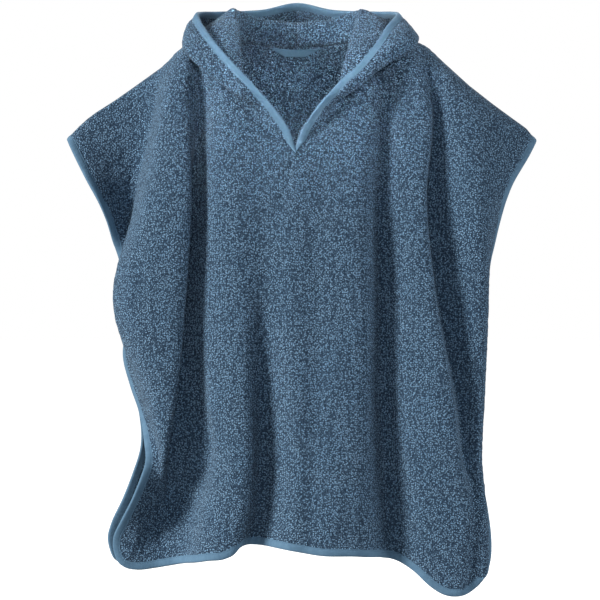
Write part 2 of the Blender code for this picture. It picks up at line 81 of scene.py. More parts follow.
# Outer edges of the panels: drop, place across, depth front to back.
FRONT_LEFT_EDGE = ((108, -294, -15), (132, -282, -25), (162, -266, -36), (189, -251, -38),
                   (215, -241, -27), (239, -235, -14), (260, -227, -6), (286, -218, -3.2),
                   (320, -213, -3), (353, -217, -3), (378, -222, -4), (422, -212, -9),
                   (452, -201, -20), (493, -193, -44), (514, -191, -55), (538, -198, -57),
                   (567, -210, -52), (595, -225, -40), (612, -233, -33), (627, -234, -28),
                   (642, -230, -28))
FRONT_RIGHT_EDGE = ((109, 306, -15), (129, 295, -26), (167, 272, -42), (186, 264, -46),
                    (210, 257, -38), (237, 251, -26), (260, 246, -15), (286, 243, -8),
                    (312, 241, -4), (373, 237, -5), (422, 235, -14), (483, 232, -28),
                    (519, 231, -38), (551, 234, -48), (585, 240, -54), (609, 243, -57),
                    (635, 243, -58), (652, 239, -58))
BACK_LEFT_EDGE = ((108, -294, 13), (132, -282, 16), (162, -266, 24), (189, -251, 28),
                  (215, -241, 23), (239, -235, 16), (260, -227, 8), (286, -217, 3.2),
                  (320, -213, 3), (353, -217, 3), (378, -221, 5), (422, -210, 10),
                  (452, -204, 16), (502, -202, 28), (536, -213, 38), (571, -227, 43),
                  (603, -242, 42), (620, -246, 40), (635, -243, 38), (645, -239, 37))
BACK_RIGHT_EDGE = ((109, 306, 13), (129, 295, 16), (167, 272, 26), (186, 264, 30),
                   (210, 257, 24), (237, 251, 15), (260, 246, 7), (286, 243, 3.2),
                   (312, 241, 3), (373, 237, 3), (422, 236, 8), (483, 234, 15),
                   (551, 237, 24), (609, 243, 30), (635, 241, 31), (649, 234, 32))

# Hems between the rounded corners: place across, drop.
FRONT_HEM = ((-236, 628), (-230, 642), (-219, 652), (-206, 655), (-182, 653), (-160, 649),
             (-112, 638), (-87, 634), (-77, 628), (-73, 622), (-68, 619.5), (-54, 619), (-17, 623),
             (29, 630), (79, 632), (129, 641), (148, 653), (166, 670), (182, 680), (198, 683),
             (220, 676), (233, 663), (239, 652), (245, 637))
BACK_HEM = ((-249, 625), (-239, 645), (-229, 654), (-215, 657), (-180, 652), (-110, 640),
            (-60, 630), (0, 634), (80, 645), (125, 650), (180, 660), (205, 661), (225, 655),
            (234, 649), (243, 635))

# Folds that hang in a panel, from left to right. Each has its place across and its depth front
# to back at these drops.
LEVELS = (-30, 60, 190, 312, 440, 510, 570, 640)
Fold = namedtuple("Fold", "name across depth")
FRONT_FOLDS = (
    Fold("sleeve_trough", (-167, -184, -211, -223, -196, -174, -190, -214),
         (-40, -12, -9, -25, -34, -57, -39, -29)),
    Fold("side_roll_edge", (-158, -174, -202, -231, -190, -171, -184, -206),
         (-48, -32, -37, -50, -56, -62, -33, -28)),
    Fold("side_roll_crown", (-147, -163, -184, -206, -178, -168, -178, -198),
         (-55, -54, -74, -80, -76, -67, -27, -27)),
    Fold("side_roll_lip", (-137, -140, -135, -142, -154, -165, -172, -187),
         (-55, -58, -80, -83, -79, -66, -22, -26)),
    Fold("side_roll_valley", (-130, -124, -138, -146, -155, -162, -166, -176),
         (-50, -42, -44, -44, -50, -46, -18, -25)),
    Fold("side_roll_foot", (-122, -115, -121, -128, -119, -112, -134, -148),
         (-50, -47, -56, -58, -58, -52, -26, -34)),
    Fold("chest_ridge", (-108, -104, -102, -101, -102, -96, -106, -120),
         (-52, -60, -79, -82, -84, -84, -80, -80)),
    Fold("chest_slope", (-85, -80, -76, -72, -66, -63, -68, -84),
         (-52, -68, -89, -91, -94, -94, -92, -90)),
    Fold("hem_valley", (-62, -52, -44, -40, -44, -45, -47, -60),
         (-50, -67, -88, -85, -71, -66, -66, -66)),
    Fold("middle_ridge", (0, 0, -2, -4, -2, 1, 0, -12),
         (-50, -70, -97, -98, -98, -97, -97, -94)),
    Fold("middle_hollow", (19, 23, 24, 26, 22, 19, 16, 11),
         (-50, -69, -95, -96, -97, -98, -98, -97)),
    Fold("soft_ridge", (48, 51, 56, 52, 50, 46, 44, 38),
         (-50, -66, -98, -101, -103, -104, -104, -102)),
    Fold("right_slope", (69, 87, 84, 85, 82, 82, 84, 86),
         (-50, -62, -93, -96, -98, -98, -95, -90)),
    Fold("wide_valley", (95, 112, 104, 106, 108, 112, 116, 124),
         (-50, -48, -70, -68, -66, -64, -63, -64)),
    Fold("shoulder_ridge", (115, 134, 128, 134, 142, 148, 156, 162),
         (-52, -60, -81, -84, -87, -87, -84, -80)),
    Fold("shoulder_fall", (130, 163, 158, 170, 191, 199, 211, 206),
         (-50, -60, -86, -92, -97, -96, -90, -84)),
    Fold("sleeve_crease", (150, 172, 165, 177, 200, 208, 221, 218),
         (-44, -48, -58, -64, -72, -76, -82, -76)),
    Fold("sleeve_ridge", (176, 202, 228, 233, 230, 228, 234, 236),
         (-46, -58, -82, -76, -76, -76, -78, -74)),
)
BACK_FOLDS = (
    Fold("sleeve_trough", (-160, -182, -196, -198, -186, -188, -202, -224),
         (46, 46, 42, 38, 36, 44, 54, 50)),
    Fold("blade_ridge", (-128, -144, -166, -176, -166, -168, -178, -188),
         (58, 64, 74, 82, 82, 84, 86, 84)),
    Fold("blade_valley", (-100, -108, -116, -122, -124, -126, -130, -136),
         (64, 66, 62, 58, 58, 56, 56, 56)),
    Fold("left_ridge", (-62, -64, -66, -70, -74, -78, -82, -86),
         (74, 80, 88, 96, 101, 104, 106, 106)),
    Fold("middle_valley", (-10, -12, -14, -16, -18, -19, -21, -24),
         (76, 80, 82, 80, 78, 74, 72, 70)),
    Fold("right_ridge", (38, 40, 42, 44, 44, 45, 47, 48),
         (74, 82, 92, 100, 106, 109, 111, 112)),
    Fold("right_valley", (80, 88, 94, 98, 102, 105, 108, 110),
         (68, 70, 68, 64, 60, 58, 58, 58)),
    Fold("blade_ridge_right", (118, 136, 148, 156, 162, 166, 171, 176),
         (60, 68, 80, 90, 94, 94, 93, 92)),
    Fold("sleeve_hollow", (158, 184, 202, 208, 210, 211, 214, 218),
         (48, 48, 46, 42, 40, 42, 47, 50)),
)

# Hood: one row for each station of the neck seam, from the V to the centre back. The lines
# run from the seam over the crest of the stand, down the inside of the thrown-back bag
# through its throat to its bottom, and up its outside to the free edge round the face:
# (across, depth, height).
Station = namedtuple("Station", "crest inside throat bottom outside edge")
FLAT = None


def mirrored(station):
    """The same station on the other side of the middle plane."""
    return Station(*((-across, depth, height) for across, depth, height in station))


# The last two stations of the right half. The left half has them mirrored.
HOOD_BEHIND = (
    Station((40, 60, 54), (52, 82, 24), (60, 94, -20), (64, 104, -62), (62, 120, 18),
            (46, 88, 70)),
    Station((0, 67, 51), (0, 88, 16), (0, 98, -32), (0, 108, -80), (0, 130, 16), (0, 98, 80.5)),
)
HOOD_LEFT = (
    Station(FLAT, FLAT, FLAT, FLAT, FLAT, (-3.2, -83, -119.5)),
    Station(FLAT, FLAT, FLAT, FLAT, FLAT, (-8.5, -84, -100.5)),
    Station(FLAT, FLAT, FLAT, FLAT, FLAT, (-16.5, -85, -88)),
    Station(FLAT, FLAT, FLAT, FLAT, FLAT, (-36, -84, -63)),
    Station((-61, -68, -47), (-66, -73, -47), (-71, -78, -51), (-75, -83, -57), (-68, -89, -51),
            (-56, -82, -41)),
    Station((-70, -58, -22), (-78, -65, -25), (-85, -71, -34), (-91, -78, -44), (-86, -82, -37),
            (-74, -78, -21)),
    Station((-72, -40, 11), (-89, -53, 6), (-105, -61, -10), (-119, -68, -22), (-112, -72, -13),
            (-97, -63, 5)),
    Station((-76, -16, 40), (-104, -28, 34), (-126, -40, 17), (-141, -50, 2), (-134, -56, 16),
            (-116, -44, 31)),
    Station((-80, 6, 60), (-108, -2, 42), (-131, -6, 28), (-145, -10, 17), (-140, -18, 36),
            (-126, -14, 53)),
    Station((-79, 22, 62), (-108, 24, 43), (-129, 26, 30), (-142, 26, 21), (-136, 30, 37),
            (-121, 16, 59)),
    Station((-68, 42, 60), (-92, 54, 40), (-108, 66, 16), (-120, 76, -4), (-116, 82, 26),
            (-98, 56, 64)),
) + tuple(mirrored(station) for station in HOOD_BEHIND)
HOOD_RIGHT = (
    Station(FLAT, FLAT, FLAT, FLAT, FLAT, (-0.8, -83, -119.5)),
    Station(FLAT, FLAT, FLAT, FLAT, FLAT, (5.5, -84, -99.5)),
    Station(FLAT, FLAT, FLAT, FLAT, FLAT, (15, -85, -85)),
    Station(FLAT, FLAT, FLAT, FLAT, FLAT, (34, -84, -60)),
    Station((53, -66, -42), (58, -71, -42), (64, -76, -46), (68, -81, -51), (63, -87, -47),
            (55, -82, -37)),
    Station((59, -58, -18), (71, -65, -20), (79, -71, -30), (87, -77, -36), (83, -84, -31),
            (74, -78, -20)),
    Station((67, -40, 12), (86, -52, 8), (97, -60, -8), (114, -66, -14), (108, -73, -5),
            (97, -63, 8)),
    Station((75, -16, 38), (103, -26, 35), (120, -37, 19), (146, -50, 4), (136, -56, 19),
            (113, -44, 34)),
    Station((81, 6, 58), (111, -1, 46), (130, -4, 31), (154, -11, 22), (143, -20, 37),
            (127, -14, 53)),
    Station((79, 22, 61), (109, 24, 46), (128, 26, 31), (147, 27, 22), (138, 31, 39),
            (121, 16, 59)),
    Station((68, 42, 60), (94, 54, 40), (110, 66, 14), (122, 77, -4), (117, 83, 26),
            (98, 56, 64)),
) + HOOD_BEHIND

# Places of a station's middle lines, from seam to edge, where the hood lies flat on the front.
FLAT_SHARES = (0.08, 0.16, 0.24, 0.34, 0.68)
NECK_STATION = 8              # counted from the V: the hood station at the neck point
BACK_NECK_STEPS = 12          # columns to each row of the back neck tables
ROLL_POWER = 2.5              # 2 turns over the shoulder in a quarter of an ellipse
SHOULDER_GAP = 0.9 * MM       # from the shoulder line to the middle of each panel
SHOULDER_SEARCH = (-60, 200)  # drops between which a panel's top is looked for
HEM_SEARCH = (560, 720)       # and its hem
HALVINGS = 40                 # of a stretch in which a place is looked for
CROWN_GAP = -0.2 * MM         # from the middle plane to each hood half
POINT_GAP = 1.0 * MM          # from the middle of the V to each hood half
HOOD_LIFT = 1.5 * MM          # from a neckline to the hood's first row

# The crown seam's allowance, pressed open on the inside of the hood.
CROWN_STRIP = 5.0 * MM        # from the seam to the middle of the allowance
CROWN_STRIP_HALF = 6.0 * MM
CROWN_RISE = 1.7 * MM         # of the allowance over the cloth
CROWN_SINK = 1.6              # times that rise, of the seam between the allowances
CROWN_SINK_HALF = 2.0 * MM
CROWN_FROM = 40.0 * MM        # behind the neck base

# Section of the folded tape: distance in from its fold, half thickness, in millimetres.
TAPE_PROFILE = ((0.0, 0.35), (0.25, 1.15), (0.9, 1.85), (2.0, 2.2), (3.6, 2.3), (5.4, 2.25),
                (7.0, 2.05), (7.8, 1.75), (8.3, 1.55), (8.8, 1.7), (9.5, 1.75), (10.0, 1.2))
TAPE_WIDTH = 10.0 * MM
TAPE_COVER = 9.2 * MM         # of the cloth that lies inside the folded tape
TAPE_STEP = 2.9 * MM          # from one section of a tape to the next
TAPE_SEEDS = {"front": 1.5, "back": 9.5, "hood": 4.5}     # of the chance in each tape
TAPE_BACK_SEAM = 2.0 * MM     # added under the tape, where its section closes
PANEL_INWARD = 3              # mesh steps from an edge to the line that shows where cloth lies
HOOD_INWARD = 4               # the same on the hood
TAPE_PUFF = (0.10, 23 * MM)   # chance share of its thickness, and how far that runs
TAPE_PINCH = (0.06, 9 * MM)   # the same between stitches
TAPE_THREAD = 0.5 * MM        # of its weave
TAPE_PUCKER = 3.0 * MM        # from one pucker of its stitching to the next
TAPE_RELIEF = 0.4 * MM        # of its weave and puckers
TAPE_STRAY = 0.3              # least share of a step across that shows which way the cloth runs
CLOTH_INSET = 1.6 * MM        # from the fold of the tape to the cloth's cut edge

# Mitre at the point of the V, where the two ends of the hood's tape meet.
POINT_WAY = (0.62, -0.27, -0.74)      # direction in which the end on the left runs on
POINT_STEPS = 6
POINT_REACH = 17.0 * MM
POINT_MIDDLE = -1.2 * MM
POINT_HALF_SLIT = 0.1 * MM

WELD = 0.01 * MM              # distance within which the points of a closed tape are joined
STITCH_INSET = 8.3 * MM       # from the fold of the tape to its stitching
STITCH_LIFT = 0.1 * MM        # of the thread's middle over the tape
STITCH_SHARE = 0.86           # of a stitch's length that shows as thread
THREAD = 0.55 * MM            # thickness of the sewing thread

PILE_LUMP = 5.5 * MM          # size of the lumps in which the loops cling together
PILE_MIDDLE = 0.35            # share of a lump's height that lies below the cloth's face
PILE_FADE = 2.0 * MM          # beside the tape, over which the lumps rise
PILE_LOOP = 2.3 * MM          # from one loop of the pile to the next
PILE_SCATTER = 0.78           # 0 sets the loops in rows, 1 scatters them
PILE_WARP = 0.6 * MM          # by which the loops lean out of place
PILE_BUMP = 2.2 * MM          # from the ground up to the crowns of the loops
PILE_CROWN = (0.1, 0.62)      # distances in loops between which a crown falls to the ground
PILE_HEIGHT = (0.85, 0.15)    # shares of the loops and of their yarn in the height
PILE_SHADE_SHARES = (0.9, 0.2)        # and in the colour, from which a little is taken: the loops' part is painted shade, darker down in the ground between them, and the yarn's part is a random tone
PILE_SHADE = 0.1
YARN_FINER = 1.5              # times the loops
YARN_EDGES = (0.40, 0.62)
WEAVE_SHARE = 0.12            # of the weave in the tape's relief, beside its puckers

# How fine each noise is, in waves to a metre.
LEAN_FINENESS = 260.0         # of the loops' leaning
BLOOM_FINENESS = 34.0         # of the terry's faded patches
WEAR_FINENESS = 90.0          # of the tape's worn patches
PUCKER_FINENESS = 90.0        # of its puckers, across the tape
PLY_FINENESS = 900.0          # of the thread's twist
PATCH_EDGES = (0.3, 0.7)      # of a noise, between which one colour turns into another

LOOP_THICK = 1.6 * MM
LOOP_DEPTH = 9.5 * MM
LOOP_TOP = 34.0 * MM          # half of its length at the neck seam
LOOP_FOOT = 13.5 * MM         # half of its length at its lower edge
LOOP_DROP = 0.5 * MM          # from the neck seam to the tape
LOOP_ACROSS = -2.5 * MM       # its middle from the middle of the back
LOOP_LIFT = 2.9 * MM          # from the middle of the back's cloth to the middle of the tape
LOOP_ROWS = 9
LOOP_COLUMNS = 33
LOOP_EDGE = 0.5 * MM          # roundness of its edges

FINE = 5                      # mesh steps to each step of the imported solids
FRONT_LEFT_STEPS = (1, 1, 2, 2, 2, 2, 2)
FRONT_RIGHT_STEPS = (1, 2, 2, 2, 2)
BACK_LEFT_STEPS = (2, 3, 4, 3)
BACK_RIGHT_STEPS = (2, 4, 4)
PANEL_ROWS = 230
SHOULDER_ROWS = 36            # rows closer together, where a panel turns over the shoulder
SHOULDER_SHARE = 0.09         # of a column's length that those rows take
HOOD_ROWS = 52

FLOOR_HALF = 30.0
FLOOR_GLOW = 1.0
WHITE = (1.0, 1.0, 1.0, 1.0)
FLOOR_GREY = (0.35, 0.35, 0.35, 1.0)          # of the floor to the light that falls on it
AIR_COLOUR = (0.93, 0.96, 1.0, 1.0)
CAMERA_AWAY = 3.12            # to the plane of the front's mean depth
CAMERA_FOCUS_DEPTH = 0.08     # of that plane in front of the neck base
CAMERA_HALF_VIEW = 0.375      # half of the width seen at that plane
CAMERA_ACROSS = 0.00375
CAMERA_HEIGHT = -0.312
SENSOR = 36.0                 # width of the camera's film, in millimetres

# Lights: where each stands and what it faces, its size, colour and the spread of its beam in
# radians, if narrow. Its strength is the studio's setting of the same name.
Lamp = namedtuple("Lamp", "name place target size colour beam")
TRUNK = (0.0, 0.0, -0.3)      # middle of the hanging panels
LAMPS = (
    Lamp("key", (-9.1, -4.25, 3.5), TRUNK, 2.4, (1.0, 0.985, 0.96), None),
    Lamp("front", (0.2, -3.2, 0.55), TRUNK, 1.0, (0.92, 0.98, 1.08), None),
    Lamp("rim", (5.5, -0.9, 0.7), (0.2, 0.0, -0.3), 1.5, (0.96, 0.98, 1.0), None),
    Lamp("neck", (0.0, -1.8, 0.45), (0.0, 0.06, -0.03), 0.25, (1.0, 1.0, 1.0), 0.12),
    Lamp("back", (0.3, 2.6, 1.3), TRUNK, 1.6, (1.0, 1.0, 1.0), None),
)

CREASE_START = 0.1            # share of a wave that a crease has already run at its first point
CREASE_FADE = 0.7             # 1 fades a crease to its ends like a wave, and less keeps it deep

# Soft creases pressed into the panels: points (across, drop), half width, depth. A positive
# depth is a trough and a negative one a ridge.
Crease = namedtuple("Crease", "path width depth")
FRONT_CREASES = (
    Crease(((-6, 134), (-9, 152), (-15, 178), (-24, 215)), 7, 3.0),
    Crease(((8, 134), (13, 160), (20, 200)), 12, -2.0),
    Crease(((62, 58), (48, 74), (33, 93), (20, 112)), 6, 4.0),
    Crease(((-82, 56), (-60, 74), (-36, 99), (-19, 118)), 4.5, 3.0),
    Crease(((-196, 250), (-196, 300), (-192, 350)), 7, 3.0),
    Crease(((-60, 300), (-52, 380), (-50, 450)), 14, -1.8),
    Crease(((118, 240), (124, 300), (128, 360)), 9, 1.8),
    Crease(((-96, 420), (-92, 500), (-104, 580)), 9, 1.8),
    Crease(((60, 520), (64, 570), (60, 620)), 8, 1.6),
    Crease(((196, 300), (206, 360), (214, 430)), 8, 1.6),
    Crease(((-236, 118), (-222, 140), (-214, 168)), 7, 1.6),
    Crease(((262, 110), (250, 136), (244, 166)), 8, 1.6),
)
BACK_CREASES = (
    Crease(((4, 20), (6, 120), (2, 260), (-6, 420)), 16, 2.0),
    Crease(((-150, 90), (-146, 160), (-150, 230)), 9, 2.0),
    Crease(((132, 90), (128, 170), (134, 240)), 9, 2.0),
    Crease(((-52, 420), (-50, 500), (-56, 590)), 10, 1.8),
    Crease(((74, 300), (78, 400), (84, 520)), 11, 1.8),
    Crease(((-236, 120), (-226, 150)), 8, 1.6),
    Crease(((244, 120), (236, 150)), 8, 1.6),
)


def slopes(steps, values):
    """Slope of a smooth curve at each of its points, from the steps between them."""
    chords = np.diff(values, axis=0) / steps
    before = steps[:-1]
    after = steps[1:]
    middle = (chords[:-1] * after + chords[1:] * before) / (before + after)
    return np.concatenate([chords[:1], middle, chords[-1:]])


def blend(share, step, start, end, start_slope, end_slope):
    """Point at a share of the way along one stretch of a smooth curve."""
    square = share * share
    cube = square * share
    return ((2 * cube - 3 * square + 1) * start + (cube - 2 * square + share) * step * start_slope
            + (3 * square - 2 * cube) * end + (cube - square) * step * end_slope)


def along(knots, values, places):
    """Smooth curve through values at knots, read at places and straight past its ends."""
    knots = np.asarray(knots, dtype=float)
    values = np.asarray(values, dtype=float).reshape(len(knots), -1)
    places = np.asarray(places, dtype=float)
    steps = np.diff(knots)[:, None]
    slope = slopes(steps, values)
    inside = np.clip(places, knots[0], knots[-1])
    span = np.clip(np.searchsorted(knots, inside, side="right") - 1, 0, len(knots) - 2)
    share = ((inside - knots[span]) / steps[span, 0])[:, None]
    read = blend(share, steps[span], values[span], values[span + 1], slope[span], slope[span + 1])
    end = np.where(places < knots[0], 0, len(knots) - 1)
    return read + (places - inside)[:, None] * slope[end]


def straight(places, knots, points):
    """Points read at places along a line of points, straight from knot to knot."""
    return np.column_stack([np.interp(places, knots, axis) for axis in points.T])


def run_along(line):
    """Distance from a line's first point to each of its points."""
    return np.concatenate([[0.0], np.cumsum(np.linalg.norm(np.diff(line, axis=0), axis=1))])


def unit(vectors):
    """The same vectors, each 1 long."""
    return vectors / np.linalg.norm(vectors, axis=-1, keepdims=True)


def halve(count, low, high, is_short):
    """The ends, low and high, of the narrowed stretches in which is_short turns false."""
    low = np.full(count, float(low))
    high = np.full(count, float(high))
    for _ in range(HALVINGS):
        middle = (low + high) / 2
        short = is_short(middle)
        low = np.where(short, middle, low)
        high = np.where(short, high, middle)
    return low, high


def table_line(table, places):
    """Second column of a two-column table, read at places along its first, in metres."""
    rows = np.array(table) * MM
    return along(rows[:, 0], rows[:, 1], places)[:, 0]


def shoulder_roll(across, drop):
    """Share of its full depth that a panel has reached below the shoulder line."""
    ends = np.array(ROLL) * MM
    depth = np.interp(across, ends[:, 0], ends[:, 1])
    share = np.clip((drop - table_line(RIDGE, across)) / depth, 0.0, 1.0)
    return (1.0 - (1.0 - share) ** ROLL_POWER) ** (1.0 / ROLL_POWER)


def crease_relief(creases, across, drop):
    """How far soft creases push the cloth in at places across and drops."""
    relief = np.zeros(len(across))
    spot = np.column_stack([across, drop])
    for crease in creases:
        path = np.array(crease.path) * MM
        best = np.full(len(across), np.inf)
        share = np.zeros(len(across))
        for index, (start, end) in enumerate(zip(path[:-1], path[1:])):
            step = end - start
            at = np.clip((spot - start) @ step / (step @ step), 0.0, 1.0)
            away = np.linalg.norm(spot - start - at[:, None] * step, axis=1)
            share = np.where(away < best, (index + at) / (len(path) - 1), share)
            best = np.minimum(best, away)
        share = CREASE_START + share * (1 - CREASE_START)
        fade = np.sin(np.pi * np.clip(share, 0.0, 1.0)) ** CREASE_FADE
        relief += crease.depth * MM * fade * np.exp(-(best / (crease.width * MM)) ** 2)
    return relief


class Panel:
    """Hanging panel: its level sections run from edge to edge through the folds."""

    def __init__(self, left_edge, right_edge, folds, creases, hem, side):
        levels = np.array(LEVELS) * MM
        self.lines = [self.edge_line(left_edge)]
        self.lines += [(levels, np.column_stack([fold.across, fold.depth]) * MM) for fold in folds]
        self.lines.append(self.edge_line(right_edge))
        self.last = len(self.lines) - 1
        self.creases = creases
        self.hem = hem
        self.side = side

    @staticmethod
    def edge_line(edge):
        """Drops of an edge table, and the places across and depths at them."""
        rows = np.array(edge) * MM
        return rows[:, 0], rows[:, 1:]

    def section(self, place, drop):
        """Points of the cloth at places across (counted in folds) and drops."""
        place = np.asarray(place, dtype=float)
        drop = np.asarray(drop, dtype=float)
        lines = np.array([along(knots, values, drop) for knots, values in self.lines])
        reach = np.linalg.norm(np.diff(lines, axis=0), axis=2, keepdims=True)
        steps = np.sqrt(np.maximum(reach, MM))
        slope = slopes(steps, lines)
        span = np.clip(np.floor(place).astype(int), 0, self.last - 1)
        share = (place - span)[:, None]
        item = np.arange(len(place))
        plan = blend(share, steps[span, item], lines[span, item], lines[span + 1, item],
                     slope[span, item], slope[span + 1, item])
        depth = plan[:, 1] * shoulder_roll(plan[:, 0], drop)
        depth = self.side * np.maximum(self.side * depth, SHOULDER_GAP)
        return np.column_stack([plan[:, 0], depth, -drop])

    def creased(self, place, drop):
        """The same points with the soft creases pressed in."""
        points = self.section(place, drop)
        relief = crease_relief(self.creases, points[:, 0], drop)
        relief *= shoulder_roll(points[:, 0], drop)
        points[:, 1] -= self.side * relief
        return points

    def meets(self, place, table, search):
        """Drop at which the cloth at each place crosses a line given by a table."""
        low, high = halve(len(place), search[0] * MM, search[1] * MM,
                          lambda drop: drop < table_line(table, self.section(place, drop)[:, 0]))
        return (low + high) / 2

    def place_of(self, across, drop):
        """Places, counted in folds, that lie at distances across at their drops."""
        return halve(len(across), 0, self.last,
                     lambda place: self.section(place, drop)[:, 0] < across)[0]


def neck_points(rows, steps):
    """Places across and drops along a stretch of the neck seam, in metres."""
    rows = np.array(rows) * MM
    knots = np.arange(len(rows))
    places = np.linspace(0, len(rows) - 1, (len(rows) - 1) * steps + 1)
    return along(knots, rows, places)


def side_places(first, last, steps):
    """Column places from an edge to the neck point, with the given steps in each fold."""
    inward = np.sign(last - first)
    spans = np.append(first + inward * np.arange(len(steps)), last)
    places = [np.linspace(start, end, count * FINE, endpoint=False)
              for start, end, count in zip(spans[:-1], spans[1:], steps)]
    return np.concatenate(places)


def panel_grid(panel, neck, left_steps, right_steps):
    """Points of a panel, rows from top to hem and columns from edge to edge, and its neck."""
    neck_places = panel.place_of(neck[:, 0], neck[:, 1])
    left = side_places(0.0, neck_places[0], left_steps)
    right = side_places(panel.last, neck_places[-1], right_steps)[::-1]
    shoulder = np.concatenate([left, right])
    shoulder_tops = panel.meets(shoulder, RIDGE, SHOULDER_SEARCH)
    places = np.concatenate([left, neck_places, right])
    tops = np.concatenate([shoulder_tops[:len(left)], neck[:, 1], shoulder_tops[len(left):]])
    hems = panel.meets(places, panel.hem, HEM_SEARCH)
    hems[0] = panel.lines[0][0][-1]
    hems[-1] = panel.lines[-1][0][-1]
    shares = np.concatenate([np.linspace(0, SHOULDER_SHARE, SHOULDER_ROWS, endpoint=False),
                             np.linspace(SHOULDER_SHARE, 1, PANEL_ROWS - SHOULDER_ROWS)])
    rows = [panel.creased(places, tops + (hems - tops) * share) for share in shares]
    return np.array(rows), slice(len(left), len(left) + len(neck))


def tuck(edge, inner, distance):
    """Edge points moved in towards the next points of the cloth."""
    return edge + unit(inner - edge) * distance


def hood_line(station, seam):
    """Points of one hood station, from its seam over four lines to its face edge."""
    edge = np.array(station.edge) * MM
    if station.crest is FLAT:
        start = tuck(seam, edge, HOOD_LIFT)
        inner = tuck(edge, seam, TAPE_WIDTH)
        middle = [start + (inner - start) * share for share in FLAT_SHARES]
    else:
        middle = [np.array(point) * MM for point in station[:-1]]
        start = tuck(seam, middle[0], HOOD_LIFT)
        inner = tuck(edge, middle[-1], TAPE_WIDTH)
    return [start] + middle + [inner, edge]


def hood_half(stations, front_seam, back_seam, side):
    """Points of a hood half: rows from the seam to the face edge, columns from the V."""
    seam = np.concatenate([front_seam, back_seam[1:]])
    front = np.linspace(0, NECK_STATION, len(front_seam))
    back = np.linspace(NECK_STATION, len(stations) - 1, len(back_seam))
    places = np.concatenate([front, back[1:]])
    knots = np.arange(len(stations) + 1)
    seam[0, 0] += side * POINT_GAP
    seam_at = along(places, seam, knots[:-1])
    cage = np.array([hood_line(station, point) for station, point in zip(stations, seam_at)])
    cage = np.concatenate([cage, cage[-2:-1] * np.array([-1.0, 1.0, 1.0])])
    columns = along(knots, cage.reshape(len(cage), -1), places).reshape(len(places), -1, 3)
    columns[:, 0] = tuck(seam, columns[:, 1], HOOD_LIFT)
    columns[-1, :, 0] = side * CROWN_GAP
    return np.array([even_line(column) for column in columns]).transpose(1, 0, 2)


def even_line(cage):
    """Evenly spaced points along the smooth curve through a station's cage."""
    dense = along(np.arange(len(cage)), cage, np.linspace(0, len(cage) - 1, HOOD_ROWS * 4))
    run = run_along(dense)
    return straight(np.linspace(0.0, run[-1], HOOD_ROWS), run, dense)


def surface_tree(grid):
    """Search tree of a cloth's middle surface."""
    rows, columns = grid.shape[:2]
    index = np.arange(rows * columns).reshape(rows, columns)
    quads = np.stack([index[:-1, :-1], index[:-1, 1:], index[1:, 1:], index[1:, :-1]], axis=-1)
    return BVHTree.FromPolygons(grid.reshape(-1, 3).tolist(), quads.reshape(-1, 4).tolist())


def grid_mesh(name, grid, uv=None):
    """Sheet of quads through a grid of points, with a UV map if one is given, in metres."""
    rows, columns = grid.shape[:2]
    sheet = bmesh.new()
    bmesh.ops.create_grid(sheet, x_segments=columns - 1, y_segments=rows - 1, size=1.0)
    mesh = bpy.data.meshes.new(name)
    sheet.to_mesh(mesh)
    sheet.free()
    flat = np.empty(rows * columns * 3)
    mesh.vertices.foreach_get("co", flat)
    flat = flat.reshape(-1, 3)
    order = np.lexsort((flat[:, 0].round(5), -flat[:, 1].round(5)))
    placed = np.empty_like(flat)
    placed[order] = grid.reshape(-1, 3)
    mesh.vertices.foreach_set("co", placed.ravel())
    if uv is not None:
        corner = np.empty(len(mesh.loops), dtype=np.int32)
        mesh.loops.foreach_get("vertex_index", corner)
        by_vertex = np.empty((rows * columns, 2))
        by_vertex[order] = uv.reshape(-1, 2)
        layer = mesh.uv_layers.new(name="UVMap")
        layer.data.foreach_set("uv", by_vertex[corner].ravel())
    mesh.update()
    return mesh, order


def finish_piece(mesh, material):
    """Object for a finished mesh, riding on the poncho's one body."""
    mesh.shade_smooth()
    mesh.materials.append(material)
    piece = bpy.data.objects.new(mesh.name, mesh)
    bpy.context.scene.collection.objects.link(piece)
    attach(piece, BODY)
    return piece


def near_share(grid, line, low, high):
    """0 at points nearer than low to a line of points, and 1 beyond high."""
    tree = KDTree(len(line))
    for index, spot in enumerate(line):
        tree.insert(spot, index)
    tree.balance()
    away = np.array([tree.find(point)[2] for point in grid.reshape(-1, 3)])
    share = np.clip((away - low) / (high - low), 0.0, 1.0)
    return share * share * (3 - 2 * share)


def add_wall(piece, thickness):
    """Thicken a sheet to both sides."""
    wall = piece.modifiers.new("Wall", "SOLIDIFY")
    wall.thickness = thickness
    wall.offset = 0.0


def pile_texture():
    """Procedural lumps of looped pile, shared by every terry piece."""
    texture = bpy.data.textures.get("pile_lumps")
    if texture is None:
        texture = bpy.data.textures.new("pile_lumps", type="VORONOI")
        texture.noise_scale = PILE_LUMP
        texture.distance_metric = "DISTANCE"
        texture.noise_intensity = 1.0
    return texture


def terry_piece(name, grid, taped_edge, sizes):
    """Terry shell with its pile: flat under the tape and lumpy everywhere else."""
    mesh, order = grid_mesh(name, grid)
    piece = finish_piece(mesh, terry_material())
    weights = near_share(grid, taped_edge, TAPE_COVER, TAPE_COVER + PILE_FADE).round(1)
    group = piece.vertex_groups.new(name="pile")
    for level in np.unique(weights):
        members = order[weights == level]
        group.add([int(index) for index in members], float(level), "REPLACE")
    add_wall(piece, sizes.wall)
    pile = piece.modifiers.new("Pile", "DISPLACE")
    pile.texture = pile_texture()
    pile.texture_coords = "LOCAL"
    pile.strength = sizes.pile
    pile.mid_level = PILE_MIDDLE
    pile.vertex_group = "pile"
    return piece


